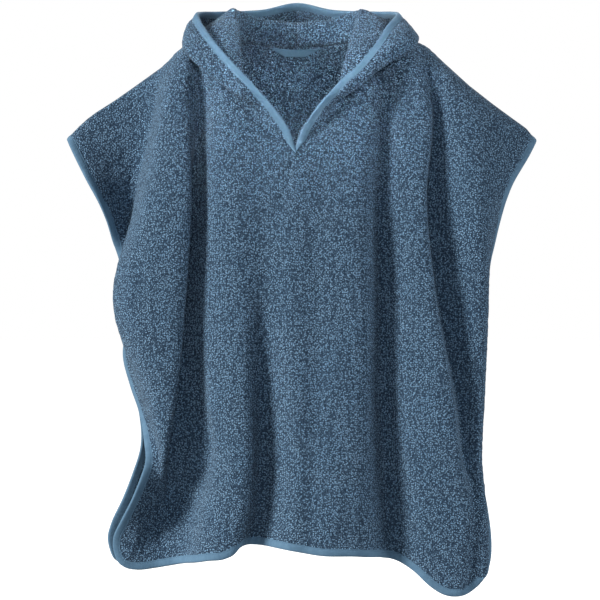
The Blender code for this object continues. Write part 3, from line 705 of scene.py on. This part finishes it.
def walk_in(edge, inner, tree, offsets):
    """Points and normals of a cloth at distances in from its edge, one row to a distance."""
    along_edge = np.gradient(edge, axis=0)
    here = edge.copy()
    found = [tree.find_nearest(Vector(point)) for point in here]
    normals = np.array([hit[1] for hit in found])
    inward = np.cross(normals, along_edge)
    inward *= np.sign(np.sum(inward * (inner - edge), axis=1))[:, None]
    inward = unit(inward)
    rows, facing = [here], [normals]
    for step in np.diff(offsets):
        found = [tree.find_nearest(Vector(point)) for point in here + inward * step]
        there = np.array([hit[0] for hit in found])
        normals = np.array([hit[1] for hit in found])
        moved = np.linalg.norm(there - here, axis=1, keepdims=True)
        fresh = (there - here) / np.maximum(moved, 1e-6)
        inward = np.where(moved > TAPE_STRAY * step, fresh, inward)
        here = there
        rows.append(here)
        facing.append(normals)
    return smooth_along(np.array(rows)), smooth_along(np.array(facing))


def smooth_along(lines, passes=2):
    """Lines of points evened out along their length, with their ends kept."""
    lines = lines.copy()
    for _ in range(passes):
        lines[:, 1:-1] = (lines[:, :-2] + 2 * lines[:, 1:-1] + lines[:, 2:]) / 4
    return lines


def resample(line, step):
    """Evenly spaced points along a line of points."""
    run = run_along(line)
    even = np.linspace(0.0, run[-1], max(int(run[-1] / step), 2))
    return straight(even, run, line), even


def wander(distances, wavelength, seed):
    """Smooth chance variation along a seam, from -1 to 1."""
    return np.array([noise.noise(Vector((d / wavelength, seed, 0.5))) for d in distances])


class Tape:
    """Folded tape round a free edge of cloth: its lines across and its height over the cloth."""

    def __init__(self, edge, inner, tree, seed):
        self.edge, self.run = resample(edge, TAPE_STEP)
        inner = resample(inner, TAPE_STEP)[0]
        shares = np.linspace(0, len(inner) - 1, len(self.edge))
        inner = straight(shares, np.arange(len(inner)), inner)
        self.offsets, self.heights = np.array(TAPE_PROFILE).T * MM
        self.lines, self.normals = walk_in(self.edge, inner, tree, self.offsets)
        self.seed = seed
        self.low = np.full(len(self.run), -np.inf)
        self.high = np.full(len(self.run), np.inf)

    def meet_at_point(self):
        """Carry both ends on to the middle of the V, where they are cut to a mitre."""
        steps = np.linspace(0, POINT_REACH, POINT_STEPS + 1)[1:]
        way = np.array(POINT_WAY)
        mirrored = way * np.array([-1.0, 1.0, 1.0])
        first = self.lines[:, :1] + way * steps[::-1, None]
        last = self.lines[:, -1:] + mirrored * steps[:, None]
        self.lines = np.concatenate([first, self.lines, last], axis=1)
        facing = self.normals
        self.normals = np.concatenate([facing[:, :1]] * POINT_STEPS + [facing]
                                      + [facing[:, -1:]] * POINT_STEPS, axis=1)
        self.run = np.concatenate([-steps[::-1], self.run, self.run[-1] + steps])
        open_ends = np.full(POINT_STEPS, POINT_MIDDLE)
        inside = len(self.run) - POINT_STEPS
        self.high = np.concatenate([open_ends - POINT_HALF_SLIT, np.full(inside, np.inf)])
        self.low = np.concatenate([np.full(inside, -np.inf), open_ends + POINT_HALF_SLIT])

    def ring_grid(self):
        """Closed sections of the tape: over its face, round the fold and back underneath."""
        soft = 1 + TAPE_PUFF[0] * wander(self.run, TAPE_PUFF[1], self.seed)
        slim = 1 + TAPE_PINCH[0] * wander(self.run, TAPE_PINCH[1], self.seed + 7)
        lift = self.normals * (self.heights[:, None] * (soft * slim)[None, :])[:, :, None]
        over = self.lines + lift
        under = self.lines - lift
        ring = np.concatenate([over[::-1], under[1:], over[-1:]])
        ring[:, :, 0] = np.clip(ring[:, :, 0], self.low, self.high)
        across = np.concatenate([self.offsets[::-1], -self.offsets[1:],
                                 [-self.offsets[-1] - TAPE_BACK_SEAM]])
        return ring, np.stack(np.meshgrid(self.run, across), axis=-1)

    def stitch_line(self, side):
        """Places and facings of the stitches on one side of the tape."""
        index = int(np.argmin(np.abs(self.offsets - STITCH_INSET)))
        line = self.lines[index] + side * self.normals[index] * (self.heights[index] + STITCH_LIFT)
        kept = (line[:, 0] > self.low) & (line[:, 0] < self.high)
        return line[kept], side * self.normals[index][kept]


def tape_piece(name, tape, material):
    """Tape as one closed body."""
    ring, uv = tape.ring_grid()
    mesh, _ = grid_mesh(name, ring, uv)
    body = bmesh.new()
    body.from_mesh(mesh)
    bmesh.ops.remove_doubles(body, verts=body.verts[:], dist=WELD)
    open_edges = [edge for edge in body.edges if edge.is_boundary]
    bmesh.ops.holes_fill(body, edges=open_edges, sides=0)
    bmesh.ops.recalc_face_normals(body, faces=body.faces[:])
    body.to_mesh(mesh)
    body.free()
    return finish_piece(mesh, material)


def stitch_mesh(name, seams, sizes):
    """Rows of lock stitches, one short thread for each, joined in one mesh."""
    thread = bmesh.new()
    bmesh.ops.create_icosphere(thread, subdivisions=1, radius=1.0)
    bmesh.ops.scale(thread, vec=(0.5 * STITCH_SHARE * sizes.stitch, THREAD / 2, THREAD / 2),
                    verts=thread.verts[:])
    base = np.array([vert.co for vert in thread.verts])
    faces = np.array([[vert.index for vert in face.verts] for face in thread.faces])
    thread.free()
    spots, turns = [], []
    for line, facing in seams:
        even, _ = resample(line, sizes.stitch)
        up = straight(np.linspace(0, len(line) - 1, len(even)), np.arange(len(line)), facing)
        ahead = unit(np.gradient(even, axis=0))
        across = unit(np.cross(up, ahead))
        spots.append(even)
        turns.append(np.stack([ahead, across, np.cross(ahead, across)], axis=1))
    spots = np.concatenate(spots)
    turns = np.concatenate(turns)
    points = np.einsum("pk,skj->spj", base, turns) + spots[:, None]
    all_faces = faces[None] + (np.arange(len(spots)) * len(base))[:, None, None]
    mesh = bpy.data.meshes.new(name)
    mesh.from_pydata(points.reshape(-1, 3).tolist(), [], all_faces.reshape(-1, 3).tolist())
    return mesh


def new_group(name, inputs, outputs):
    """Empty shader node group with the given sockets, and its two end nodes."""
    group = bpy.data.node_groups.new(name, "ShaderNodeTree")
    for label, kind, default in inputs:
        socket = group.interface.new_socket(name=label, in_out="INPUT", socket_type=kind)
        socket.default_value = default
    for label, kind in outputs:
        group.interface.new_socket(name=label, in_out="OUTPUT", socket_type=kind)
    return group, group.nodes.new("NodeGroupInput"), group.nodes.new("NodeGroupOutput")


def node(tree, kind, settings=(), values=()):
    """New node with its settings, and with its inputs set or linked."""
    made = tree.nodes.new(kind)
    for label, value in dict(settings).items():
        setattr(made, label, value)
    for label, value in dict(values).items():
        if isinstance(value, bpy.types.NodeSocket):
            tree.links.new(value, made.inputs[label])
        else:
            made.inputs[label].default_value = value
    return made


def maths(tree, operation, first, second=0.0, clamp=False):
    """Result of one sum on two values."""
    settings = {"operation": operation, "use_clamp": clamp}
    return node(tree, "ShaderNodeMath", settings, {0: first, 1: second}).outputs[0]


def weighed(tree, first, second, shares):
    """Sum of two values, each times its share."""
    return maths(tree, "ADD", maths(tree, "MULTIPLY", first, shares[0]),
                 maths(tree, "MULTIPLY", second, shares[1]))


def soft_step(tree, value, low, high, start=0.0, end=1.0):
    """Smooth step of a value from start at low to end at high."""
    values = {"Value": value, "From Min": low, "From Max": high, "To Min": start, "To Max": end}
    settings = {"interpolation_type": "SMOOTHSTEP"}
    return node(tree, "ShaderNodeMapRange", settings, values).outputs["Result"]


def mix_colour(tree, share, first, second):
    """Colour between two others, by a share."""
    values = {0: share, 6: first, 7: second}
    return node(tree, "ShaderNodeMix", {"data_type": "RGBA"}, values).outputs[2]


def loop_pile_group():
    """Looped pile: one lump for each loop, its tint, which paints shade on the ground between the
    loops, and how deep that ground lies.
    """
    name = "Looped pile"
    if name in bpy.data.node_groups:
        return bpy.data.node_groups[name]
    group, source, sink = new_group(
        name,
        (("Loop Size", "NodeSocketFloat", PILE_LOOP), ("Warp", "NodeSocketFloat", PILE_WARP)),
        (("Height", "NodeSocketFloat"), ("Tint", "NodeSocketFloat"), ("Bloom", "NodeSocketFloat")))
    place = node(group, "ShaderNodeTexCoord").outputs["Object"]
    bend = node(group, "ShaderNodeTexNoise", {},
                {"Vector": place, "Scale": LEAN_FINENESS, "Detail": 1.0})
    bent = node(group, "ShaderNodeVectorMath", {"operation": "SCALE"},
                {0: bend.outputs["Color"], "Scale": source.outputs["Warp"]}).outputs[0]
    spot = node(group, "ShaderNodeVectorMath", {"operation": "ADD"},
                {0: place, 1: bent}).outputs[0]
    scale = maths(group, "DIVIDE", 1.0, source.outputs["Loop Size"])
    loops = node(group, "ShaderNodeTexVoronoi", {"feature": "F1"},
                 {"Vector": spot, "Scale": scale, "Randomness": PILE_SCATTER})
    crown = soft_step(group, loops.outputs["Distance"], *PILE_CROWN, 1.0, 0.0)
    fine = maths(group, "MULTIPLY", scale, YARN_FINER)
    grain = node(group, "ShaderNodeTexNoise", {},
                 {"Vector": place, "Scale": fine, "Detail": 0.0})
    yarn = soft_step(group, grain.outputs["Fac"], *YARN_EDGES)
    bloom = node(group, "ShaderNodeTexNoise", {},
                 {"Vector": place, "Scale": BLOOM_FINENESS, "Detail": 3.0})
    height = weighed(group, crown, yarn, PILE_HEIGHT)
    # The tint falls with the loops' height: painted shade in the ground between the loops, with a
    # little random tone from the yarn.
    shade_mix = maths(group, "SUBTRACT", weighed(group, crown, yarn, PILE_SHADE_SHARES), PILE_SHADE,
                 clamp=True)
    group.links.new(height, sink.inputs["Height"])
    group.links.new(shade_mix, sink.inputs["Tint"])
    bloom = soft_step(group, bloom.outputs["Fac"], *PATCH_EDGES)
    group.links.new(bloom, sink.inputs["Bloom"])
    return group


def woven_group():
    """Plain woven tape: fine threads both ways and the small puckers of its stitching."""
    name = "Woven tape"
    if name in bpy.data.node_groups:
        return bpy.data.node_groups[name]
    group, source, sink = new_group(
        name,
        (("Thread", "NodeSocketFloat", TAPE_THREAD), ("Pucker", "NodeSocketFloat", TAPE_PUCKER)),
        (("Height", "NodeSocketFloat"), ("Pucker", "NodeSocketFloat"), ("Wear", "NodeSocketFloat")))
    place = node(group, "ShaderNodeUVMap", {"uv_map": "UVMap"}).outputs["UV"]
    parts = node(group, "ShaderNodeSeparateXYZ", {}, {"Vector": place})
    step = maths(group, "DIVIDE", FULL_TURN, source.outputs["Thread"])
    warp, weft = [maths(group, "SINE", maths(group, "MULTIPLY", parts.outputs[way], step))
                  for way in ("X", "Y")]
    weave = maths(group, "MULTIPLY", warp, weft)
    pitch = maths(group, "DIVIDE", 1.0, source.outputs["Pucker"])
    stretch = node(group, "ShaderNodeCombineXYZ", {},
                   {"X": maths(group, "MULTIPLY", parts.outputs["X"], pitch),
                    "Y": maths(group, "MULTIPLY", parts.outputs["Y"],
                               PUCKER_FINENESS)}).outputs[0]
    ripple = node(group, "ShaderNodeTexNoise", {},
                  {"Vector": stretch, "Scale": 1.0, "Detail": 2.0})
    spot = node(group, "ShaderNodeTexCoord").outputs["Object"]
    wear = node(group, "ShaderNodeTexNoise", {},
                {"Vector": spot, "Scale": WEAR_FINENESS, "Detail": 3.0})
    weave = maths(group, "MULTIPLY", weave, WEAVE_SHARE)
    height = maths(group, "ADD", weave, ripple.outputs["Fac"])
    group.links.new(height, sink.inputs["Height"])
    group.links.new(ripple.outputs["Fac"], sink.inputs["Pucker"])
    group.links.new(wear.outputs["Fac"], sink.inputs["Wear"])
    return group


def new_material(name, roughness, sheen, sheen_tint):
    """Material with an empty Principled BSDF of a fabric's gloss."""
    material = bpy.data.materials.new(name)
    material.use_nodes = True
    shader = material.node_tree.nodes["Principled BSDF"]
    shader.inputs["Roughness"].default_value = roughness
    shader.inputs["Sheen Weight"].default_value = sheen
    shader.inputs["Sheen Roughness"].default_value = 0.45
    shader.inputs["Sheen Tint"].default_value = sheen_tint
    shader.inputs["Specular IOR Level"].default_value = 0.25
    return material, shader


def place_group(tree, group, values=()):
    """Node that puts a group into a material, with its inputs set."""
    made = tree.nodes.new("ShaderNodeGroup")
    made.node_tree = group
    for label, value in dict(values).items():
        made.inputs[label].default_value = value
    return made


def add_relief(tree, shader, height, strength, distance):
    """Bump of a height under a shader."""
    values = {"Height": height, "Strength": strength, "Distance": distance}
    bump = node(tree, "ShaderNodeBump", {}, values)
    tree.links.new(bump.outputs["Normal"], shader.inputs["Normal"])


def terry_material():
    """Cotton terry: pale tips of the loops over a ground darkened with painted shade."""
    if "looped_terry" in bpy.data.materials:
        return bpy.data.materials["looped_terry"]
    colours = bpy.context.scene.poncho_colours
    material, shader = new_material("looped_terry", 0.95, 0.12, (0.55, 0.72, 0.9, 1.0))
    tree = material.node_tree
    pile = place_group(tree, loop_pile_group(), {"Loop Size": PILE_LOOP, "Warp": PILE_WARP})
    tips = mix_colour(tree, pile.outputs["Bloom"], tuple(colours.terry_tip),
                      tuple(colours.terry_tip_faded))
    # The ground colour between the loops is painted shade.
    colour = mix_colour(tree, pile.outputs["Tint"], tuple(colours.terry_ground), tips)
    tree.links.new(colour, shader.inputs["Base Color"])
    add_relief(tree, shader, pile.outputs["Height"], 1.0, PILE_BUMP)
    return material


def tape_material():
    """Woven cotton tape, smoother and a little paler than the terry."""
    if "woven_tape" in bpy.data.materials:
        return bpy.data.materials["woven_tape"]
    colours = bpy.context.scene.poncho_colours
    material, shader = new_material("woven_tape", 0.8, 0.15, (0.6, 0.75, 0.9, 1.0))
    tree = material.node_tree
    weave = place_group(tree, woven_group(), {"Thread": TAPE_THREAD, "Pucker": TAPE_PUCKER})
    share = weighed(tree, weave.outputs["Pucker"], weave.outputs["Wear"], (0.5, 0.5))
    share = soft_step(tree, share, *PATCH_EDGES)
    colour = mix_colour(tree, share, tuple(colours.tape_shade), tuple(colours.tape))
    tree.links.new(colour, shader.inputs["Base Color"])
    add_relief(tree, shader, weave.outputs["Height"], 0.6, TAPE_RELIEF)
    return material


def thread_material():
    """Sewing thread with the twist of its plies."""
    if "sewing_thread" in bpy.data.materials:
        return bpy.data.materials["sewing_thread"]
    colours = bpy.context.scene.poncho_colours
    material, shader = new_material("sewing_thread", 0.6, 0.1, (0.7, 0.8, 0.9, 1.0))
    tree = material.node_tree
    spot = node(tree, "ShaderNodeTexCoord").outputs["Object"]
    twist = node(tree, "ShaderNodeTexWave", {},
                 {"Vector": spot, "Scale": PLY_FINENESS, "Distortion": 2.0})
    colour = mix_colour(tree, twist.outputs["Fac"], tuple(colours.thread),
                        tuple(colours.tape_shade))
    tree.links.new(colour, shader.inputs["Base Color"])
    return material


def colour_property(label, description, default):
    """Setting for a colour."""
    return bpy.props.FloatVectorProperty(name=label, description=description, default=default,
                                         subtype="COLOR", size=4, min=0.0, max=1.0)


def length_property(label, description, default):
    """Setting for a length, in metres."""
    return bpy.props.FloatProperty(name=label, description=description, default=default,
                                   subtype="DISTANCE", unit="LENGTH", min=0.0)


def power_property(label, description, default):
    """Setting for a light's strength, in watts."""
    return bpy.props.FloatProperty(name=label, description=description, default=default,
                                   unit="POWER", min=0.0)


class PonchoSizes(bpy.types.PropertyGroup):
    """Sizes of the cloth and its sewing."""
    wall: length_property("Cloth", "Thickness of the ground and the pressed pile", 2.6 * MM)
    pile: length_property("Pile", "Height of the lumps of looped pile over the cloth", 1.3 * MM)
    stitch: length_property("Stitch", "Length of one stitch of the topstitching", 3.2 * MM)
    floor_drop: length_property("Floor", "Height of the neck base above the floor", 0.85)


class PonchoColours(bpy.types.PropertyGroup):
    """Colours of the cloth, tape and thread."""
    terry_tip: colour_property("Terry tips", "Tips of the loops", (0.200, 0.370, 0.560, 1.0))
    terry_tip_faded: colour_property("Faded tips", "Tips of the loops where the cloth has bloomed",
                                     (0.235, 0.410, 0.600, 1.0))
    # Painted shade: the ground colour stands for the shade down between the loops.
    terry_ground: colour_property("Terry hollow shade", "Ground between the loops",
                                  (0.010, 0.026, 0.050, 1.0))
    tape: colour_property("Tape", "Raised parts of the woven tape", (0.078, 0.152, 0.226, 1.0))
    tape_shade: colour_property("Tape shade", "Hollows of the woven tape",
                                (0.058, 0.121, 0.190, 1.0))
    thread: colour_property("Thread", "Sewing thread", (0.105, 0.195, 0.285, 1.0))


class PonchoStudio(bpy.types.PropertyGroup):
    """Strength of the studio's lights."""
    key: power_property("Key", "Large light that grazes the front from one side", 2250.0)
    front: power_property("Front", "Soft light from the front", 32.0)
    neck: power_property("Neck", "Narrow light into the neck", 0.25)
    rim: power_property("Rim", "Light that grazes the far side", 230.0)
    back: power_property("Back", "Light from behind", 60.0)
    air: bpy.props.FloatProperty(name="Air", description="Light of the surroundings",
                                 default=0.03, min=0.0)


class PonchoWork:
    """What the operators share: the points of the cloth, worked out once."""
    grids = {}
    tapes = {}


def build_panel(panel, neck_left, neck_right, neck_steps, steps):
    """Points of a panel, and its neck seam in two halves that share the middle point."""
    left = neck_points(neck_left, neck_steps)
    right = neck_points(neck_right, neck_steps)
    points, at_neck = panel_grid(panel, np.concatenate([left, right[-2::-1]]), *steps)
    seam = points[0, at_neck]
    return points, seam[:len(left)], seam[len(left) - 1:]


def build_grids():
    """Points of both panels and both hood halves."""
    if PonchoWork.grids:
        return PonchoWork.grids
    front = Panel(FRONT_LEFT_EDGE, FRONT_RIGHT_EDGE, FRONT_FOLDS, FRONT_CREASES, FRONT_HEM, -1)
    front_points, front_left, front_right = build_panel(
        front, NECK_FRONT_LEFT[::-1], NECK_FRONT_RIGHT[::-1], FINE,
        (FRONT_LEFT_STEPS, FRONT_RIGHT_STEPS))
    back = Panel(BACK_LEFT_EDGE, BACK_RIGHT_EDGE, BACK_FOLDS, BACK_CREASES, BACK_HEM, 1)
    back_points, back_left, back_right = build_panel(
        back, NECK_BACK_LEFT, NECK_BACK_RIGHT, BACK_NECK_STEPS,
        (BACK_LEFT_STEPS, BACK_RIGHT_STEPS))
    left = hood_half(HOOD_LEFT, front_left[::-1], back_left, -1)
    right = hood_half(HOOD_RIGHT, front_right, back_right[::-1], 1)
    press_crown_seam(left, right)
    PonchoWork.grids = {"front": front_points, "back": back_points, "left": left, "right": right,
                        "back_panel": back}
    return PonchoWork.grids


def press_crown_seam(left, right):
    """Sink the crown seam in the hood's inside and raise its allowance beside it."""
    for half in (left, right):
        inside = half[:HOOD_ROWS // 2]
        away = inside[:, :, 0]
        rise = np.exp(-((away - CROWN_STRIP) / CROWN_STRIP_HALF) ** 4)
        sink = CROWN_SINK * np.exp(-(away / CROWN_SINK_HALF) ** 2)
        relief = CROWN_RISE * (rise - sink)
        inside[:, :, 1] -= np.where(inside[:, :, 1] > CROWN_FROM, relief, 0.0)


def panel_outline(grid, inset=0):
    """Free edge of a panel from sleeve end to sleeve end, or the line some steps inside it."""
    left = grid[:, inset]
    hem = grid[-1 - inset, 1:-1]
    right = grid[::-1, -1 - inset]
    return np.concatenate([left, hem, right])


def quad_turns(grid):
    """Normal of each quad of a sheet of points, as long as twice the quad's area."""
    return np.cross(grid[1:, 1:] - grid[:-1, :-1], grid[1:, :-1] - grid[:-1, 1:])


def inset_cloth(grid):
    """Panel grid with its free edges drawn back into the fold of the tape."""
    cut = grid.copy()
    cut[:-1, 0] = tuck(grid[:-1, 0], grid[:-1, 1], CLOTH_INSET)
    cut[:-1, -1] = tuck(grid[:-1, -1], grid[:-1, -2], CLOTH_INSET)
    cut[-1, 1:-1] = tuck(grid[-1, 1:-1], grid[-2, 1:-1], CLOTH_INSET)
    cut[-1, 0] = tuck(grid[-1, 0], grid[-2, 1], CLOTH_INSET)
    cut[-1, -1] = tuck(grid[-1, -1], grid[-2, -2], CLOTH_INSET)
    return cut


class PONCHO_OT_tapes(bpy.types.Operator):
    """Folded tapes round the panels and the hood's face edge"""
    bl_idname = "poncho.tapes"
    bl_label = "Folded Tapes"

    def execute(self, context):
        grids = build_grids()
        for key, name in (("front", "front_binding"), ("back", "back_binding")):
            grid = grids[key]
            tape = Tape(panel_outline(grid), panel_outline(grid, PANEL_INWARD),
                        surface_tree(grid), TAPE_SEEDS[key])
            PonchoWork.tapes[key] = tape
            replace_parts(tape_piece(name + "_tape", tape, tape_material()), name)
        left, right = grids["left"], grids["right"]
        whole = np.concatenate([left, right[:, -2::-1]], axis=1)
        tape = Tape(whole[-1], whole[-1 - HOOD_INWARD], surface_tree(whole), TAPE_SEEDS["hood"])
        tape.meet_at_point()
        PonchoWork.tapes["hood"] = tape
        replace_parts(tape_piece("hood_binding_tape", tape, tape_material()), "hood_binding")
        return {"FINISHED"}


class PONCHO_OT_panels(bpy.types.Operator):
    """Terry front and back with their pile"""
    bl_idname = "poncho.panels"
    bl_label = "Front And Back"

    def execute(self, context):
        grids = build_grids()
        sizes = context.scene.poncho_sizes
        for key, name in (("front", "front_panel"), ("back", "back_panel")):
            grid = grids[key]
            edge = PonchoWork.tapes[key].edge
            piece = terry_piece(name + "_terry", inset_cloth(grid), edge, sizes)
            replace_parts(piece, name)
        return {"FINISHED"}


class PONCHO_OT_hood(bpy.types.Operator):
    """Both halves of the thrown-back hood"""
    bl_idname = "poncho.hood"
    bl_label = "Hood"

    def execute(self, context):
        grids = build_grids()
        sizes = context.scene.poncho_sizes
        edge = PonchoWork.tapes["hood"].edge
        for key in ("left", "right"):
            grid = grids[key].copy()
            grid[-1] = tuck(grid[-1], grid[-2], CLOTH_INSET)
            name = "hood_" + key
            piece = terry_piece(name + "_terry", grid, edge, sizes)
            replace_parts(piece, name)
        return {"FINISHED"}


class PONCHO_OT_loop(bpy.types.Operator):
    """Hanging loop that lies on the inside of the back"""
    bl_idname = "poncho.loop"
    bl_label = "Hanging Loop"

    def execute(self, context):
        back = build_grids()["back_panel"]
        rows = []
        for share in np.linspace(0.0, 1.0, LOOP_ROWS):
            half = LOOP_TOP + (LOOP_FOOT - LOOP_TOP) * share
            across = LOOP_ACROSS + np.linspace(-half, half, LOOP_COLUMNS)
            drop = table_line(sorted(NECK_BACK_LEFT + NECK_BACK_RIGHT[:-1]), across)
            drop = drop + LOOP_DROP + LOOP_DEPTH * share
            rows.append(back.section(back.place_of(across, drop), drop))
        grid = np.array(rows)
        mean = quad_turns(grid).reshape(-1, 3).sum(axis=0)
        inward = -mean / np.linalg.norm(mean) * np.sign(mean[1])
        grid = grid + inward * LOOP_LIFT
        run, across = np.meshgrid(np.linspace(-LOOP_TOP, LOOP_TOP, LOOP_COLUMNS),
                                  np.linspace(0, LOOP_DEPTH, LOOP_ROWS))
        mesh, _ = grid_mesh("hanging_loop_tape", grid, np.stack([run, across], axis=-1))
        piece = finish_piece(mesh, tape_material())
        add_wall(piece, LOOP_THICK)
        soft = piece.modifiers.new("Soft edge", "BEVEL")
        soft.width = LOOP_EDGE
        soft.segments = 2
        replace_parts(piece, "hanging_loop")
        return {"FINISHED"}


class PONCHO_OT_stitching(bpy.types.Operator):
    """Topstitching of the tapes, on both faces"""
    bl_idname = "poncho.stitching"
    bl_label = "Topstitching"

    def execute(self, context):
        sizes = context.scene.poncho_sizes
        for key, tape in PonchoWork.tapes.items():
            seams = [tape.stitch_line(side) for side in (1, -1)]
            mesh = stitch_mesh(key + "_topstitching", seams, sizes)
            finish_piece(mesh, thread_material())
        return {"FINISHED"}


def area_light(lamp, watts):
    """Light of a lamp, turned towards what it faces."""
    light = bpy.data.lights.new(lamp.name, "AREA")
    light.shape = "RECTANGLE"
    light.size = light.size_y = lamp.size
    light.energy = watts
    light.color = lamp.colour
    if lamp.beam:
        light.spread = lamp.beam
    stand = bpy.data.objects.new(lamp.name, light)
    way = Vector(lamp.target) - Vector(lamp.place)
    stand.location = lamp.place
    stand.rotation_euler = way.to_track_quat("-Z", "Y").to_euler()
    bpy.context.scene.collection.objects.link(stand)


def pale_floor(drop):
    """Wide floor that looks white to the camera and lights nothing."""
    deck = bmesh.new()
    bmesh.ops.create_grid(deck, x_segments=1, y_segments=1, size=FLOOR_HALF)
    bmesh.ops.translate(deck, vec=(0, 0, -drop), verts=deck.verts[:])
    mesh = bpy.data.meshes.new("floor")
    deck.to_mesh(mesh)
    deck.free()
    material = bpy.data.materials.new("floor_paint")
    material.use_nodes = True
    tree = material.node_tree
    shader = tree.nodes["Principled BSDF"]
    shader.inputs["Base Color"].default_value = FLOOR_GREY
    shader.inputs["Roughness"].default_value = 0.9
    shader.inputs["Emission Color"].default_value = WHITE
    sight = node(tree, "ShaderNodeLightPath")
    glow = maths(tree, "MULTIPLY", sight.outputs["Is Camera Ray"], FLOOR_GLOW)
    tree.links.new(glow, shader.inputs["Emission Strength"])
    mesh.materials.append(material)
    floor = bpy.data.objects.new("floor", mesh)
    bpy.context.scene.collection.objects.link(floor)
    return floor


def studio_air(strength):
    """Surroundings that look white to the camera and light the poncho only a little."""
    world = bpy.data.worlds.new("studio_air")
    world.use_nodes = True
    tree = world.node_tree
    tree.nodes.clear()
    seen = node(tree, "ShaderNodeBackground", {}, {"Color": WHITE, "Strength": 1.0})
    lit = node(tree, "ShaderNodeBackground", {}, {"Color": AIR_COLOUR, "Strength": strength})
    path = node(tree, "ShaderNodeLightPath")
    mixed = node(tree, "ShaderNodeMixShader", {},
                 {0: path.outputs["Is Camera Ray"], 1: lit.outputs[0], 2: seen.outputs[0]})
    out = node(tree, "ShaderNodeOutputWorld")
    tree.links.new(mixed.outputs[0], out.inputs["Surface"])
    return world


def studio_camera():
    """Camera in front of the poncho, level with the middle of its height."""
    camera = bpy.data.cameras.new("camera")
    camera.sensor_width = SENSOR
    camera.lens = SENSOR / 2 * CAMERA_AWAY / CAMERA_HALF_VIEW
    camera.clip_end = 50.0
    eye = bpy.data.objects.new("camera", camera)
    eye.location = (CAMERA_ACROSS, -CAMERA_AWAY - CAMERA_FOCUS_DEPTH, CAMERA_HEIGHT)
    eye.rotation_euler = (np.pi / 2, 0.0, 0.0)
    bpy.context.scene.collection.objects.link(eye)
    return eye


class PONCHO_OT_stage(bpy.types.Operator):
    """Plain pale floor, soft studio light and the camera"""
    bl_idname = "poncho.stage"
    bl_label = "Stage"

    def execute(self, context):
        scene = context.scene
        studio = scene.poncho_studio
        pale_floor(scene.poncho_sizes.floor_drop)
        for lamp in LAMPS:
            area_light(lamp, getattr(studio, lamp.name))
        scene.world = studio_air(studio.air)
        scene.view_settings.view_transform = "Standard"
        scene.camera = studio_camera()
        return {"FINISHED"}


class PONCHO_PT_workshop(bpy.types.Panel):
    """Lists the poncho's settings and the steps that build it"""
    bl_idname = "PONCHO_PT_workshop"
    bl_label = "Bath Poncho"
    bl_space_type = "VIEW_3D"
    bl_region_type = "UI"
    bl_category = "Poncho"

    def draw(self, context):
        for settings in (context.scene.poncho_sizes, context.scene.poncho_colours,
                         context.scene.poncho_studio):
            box = self.layout.box()
            for label in settings.__annotations__:
                box.prop(settings, label)
        for operator in STEPS:
            self.layout.operator(operator.bl_idname)


STEPS = (PONCHO_OT_stage, PONCHO_OT_tapes, PONCHO_OT_panels, PONCHO_OT_hood, PONCHO_OT_loop,
         PONCHO_OT_stitching)
CLASSES = (PonchoSizes, PonchoColours, PonchoStudio) + STEPS + (PONCHO_PT_workshop,)


def register():
    """Make the settings and steps known to Blender."""
    for kind in CLASSES:
        bpy.utils.register_class(kind)
    bpy.types.Scene.poncho_sizes = bpy.props.PointerProperty(type=PonchoSizes)
    bpy.types.Scene.poncho_colours = bpy.props.PointerProperty(type=PonchoColours)
    bpy.types.Scene.poncho_studio = bpy.props.PointerProperty(type=PonchoStudio)


def unregister():
    """Take the settings and steps out again."""
    del bpy.types.Scene.poncho_sizes
    del bpy.types.Scene.poncho_colours
    del bpy.types.Scene.poncho_studio
    for kind in reversed(CLASSES):
        bpy.utils.unregister_class(kind)


def main():
    """Build the dressed poncho and its stage."""
    register()
    for operator in STEPS:
        group, name = operator.bl_idname.split(".")
        getattr(getattr(bpy.ops, group), name)()


if __name__ == "__main__":
    main()
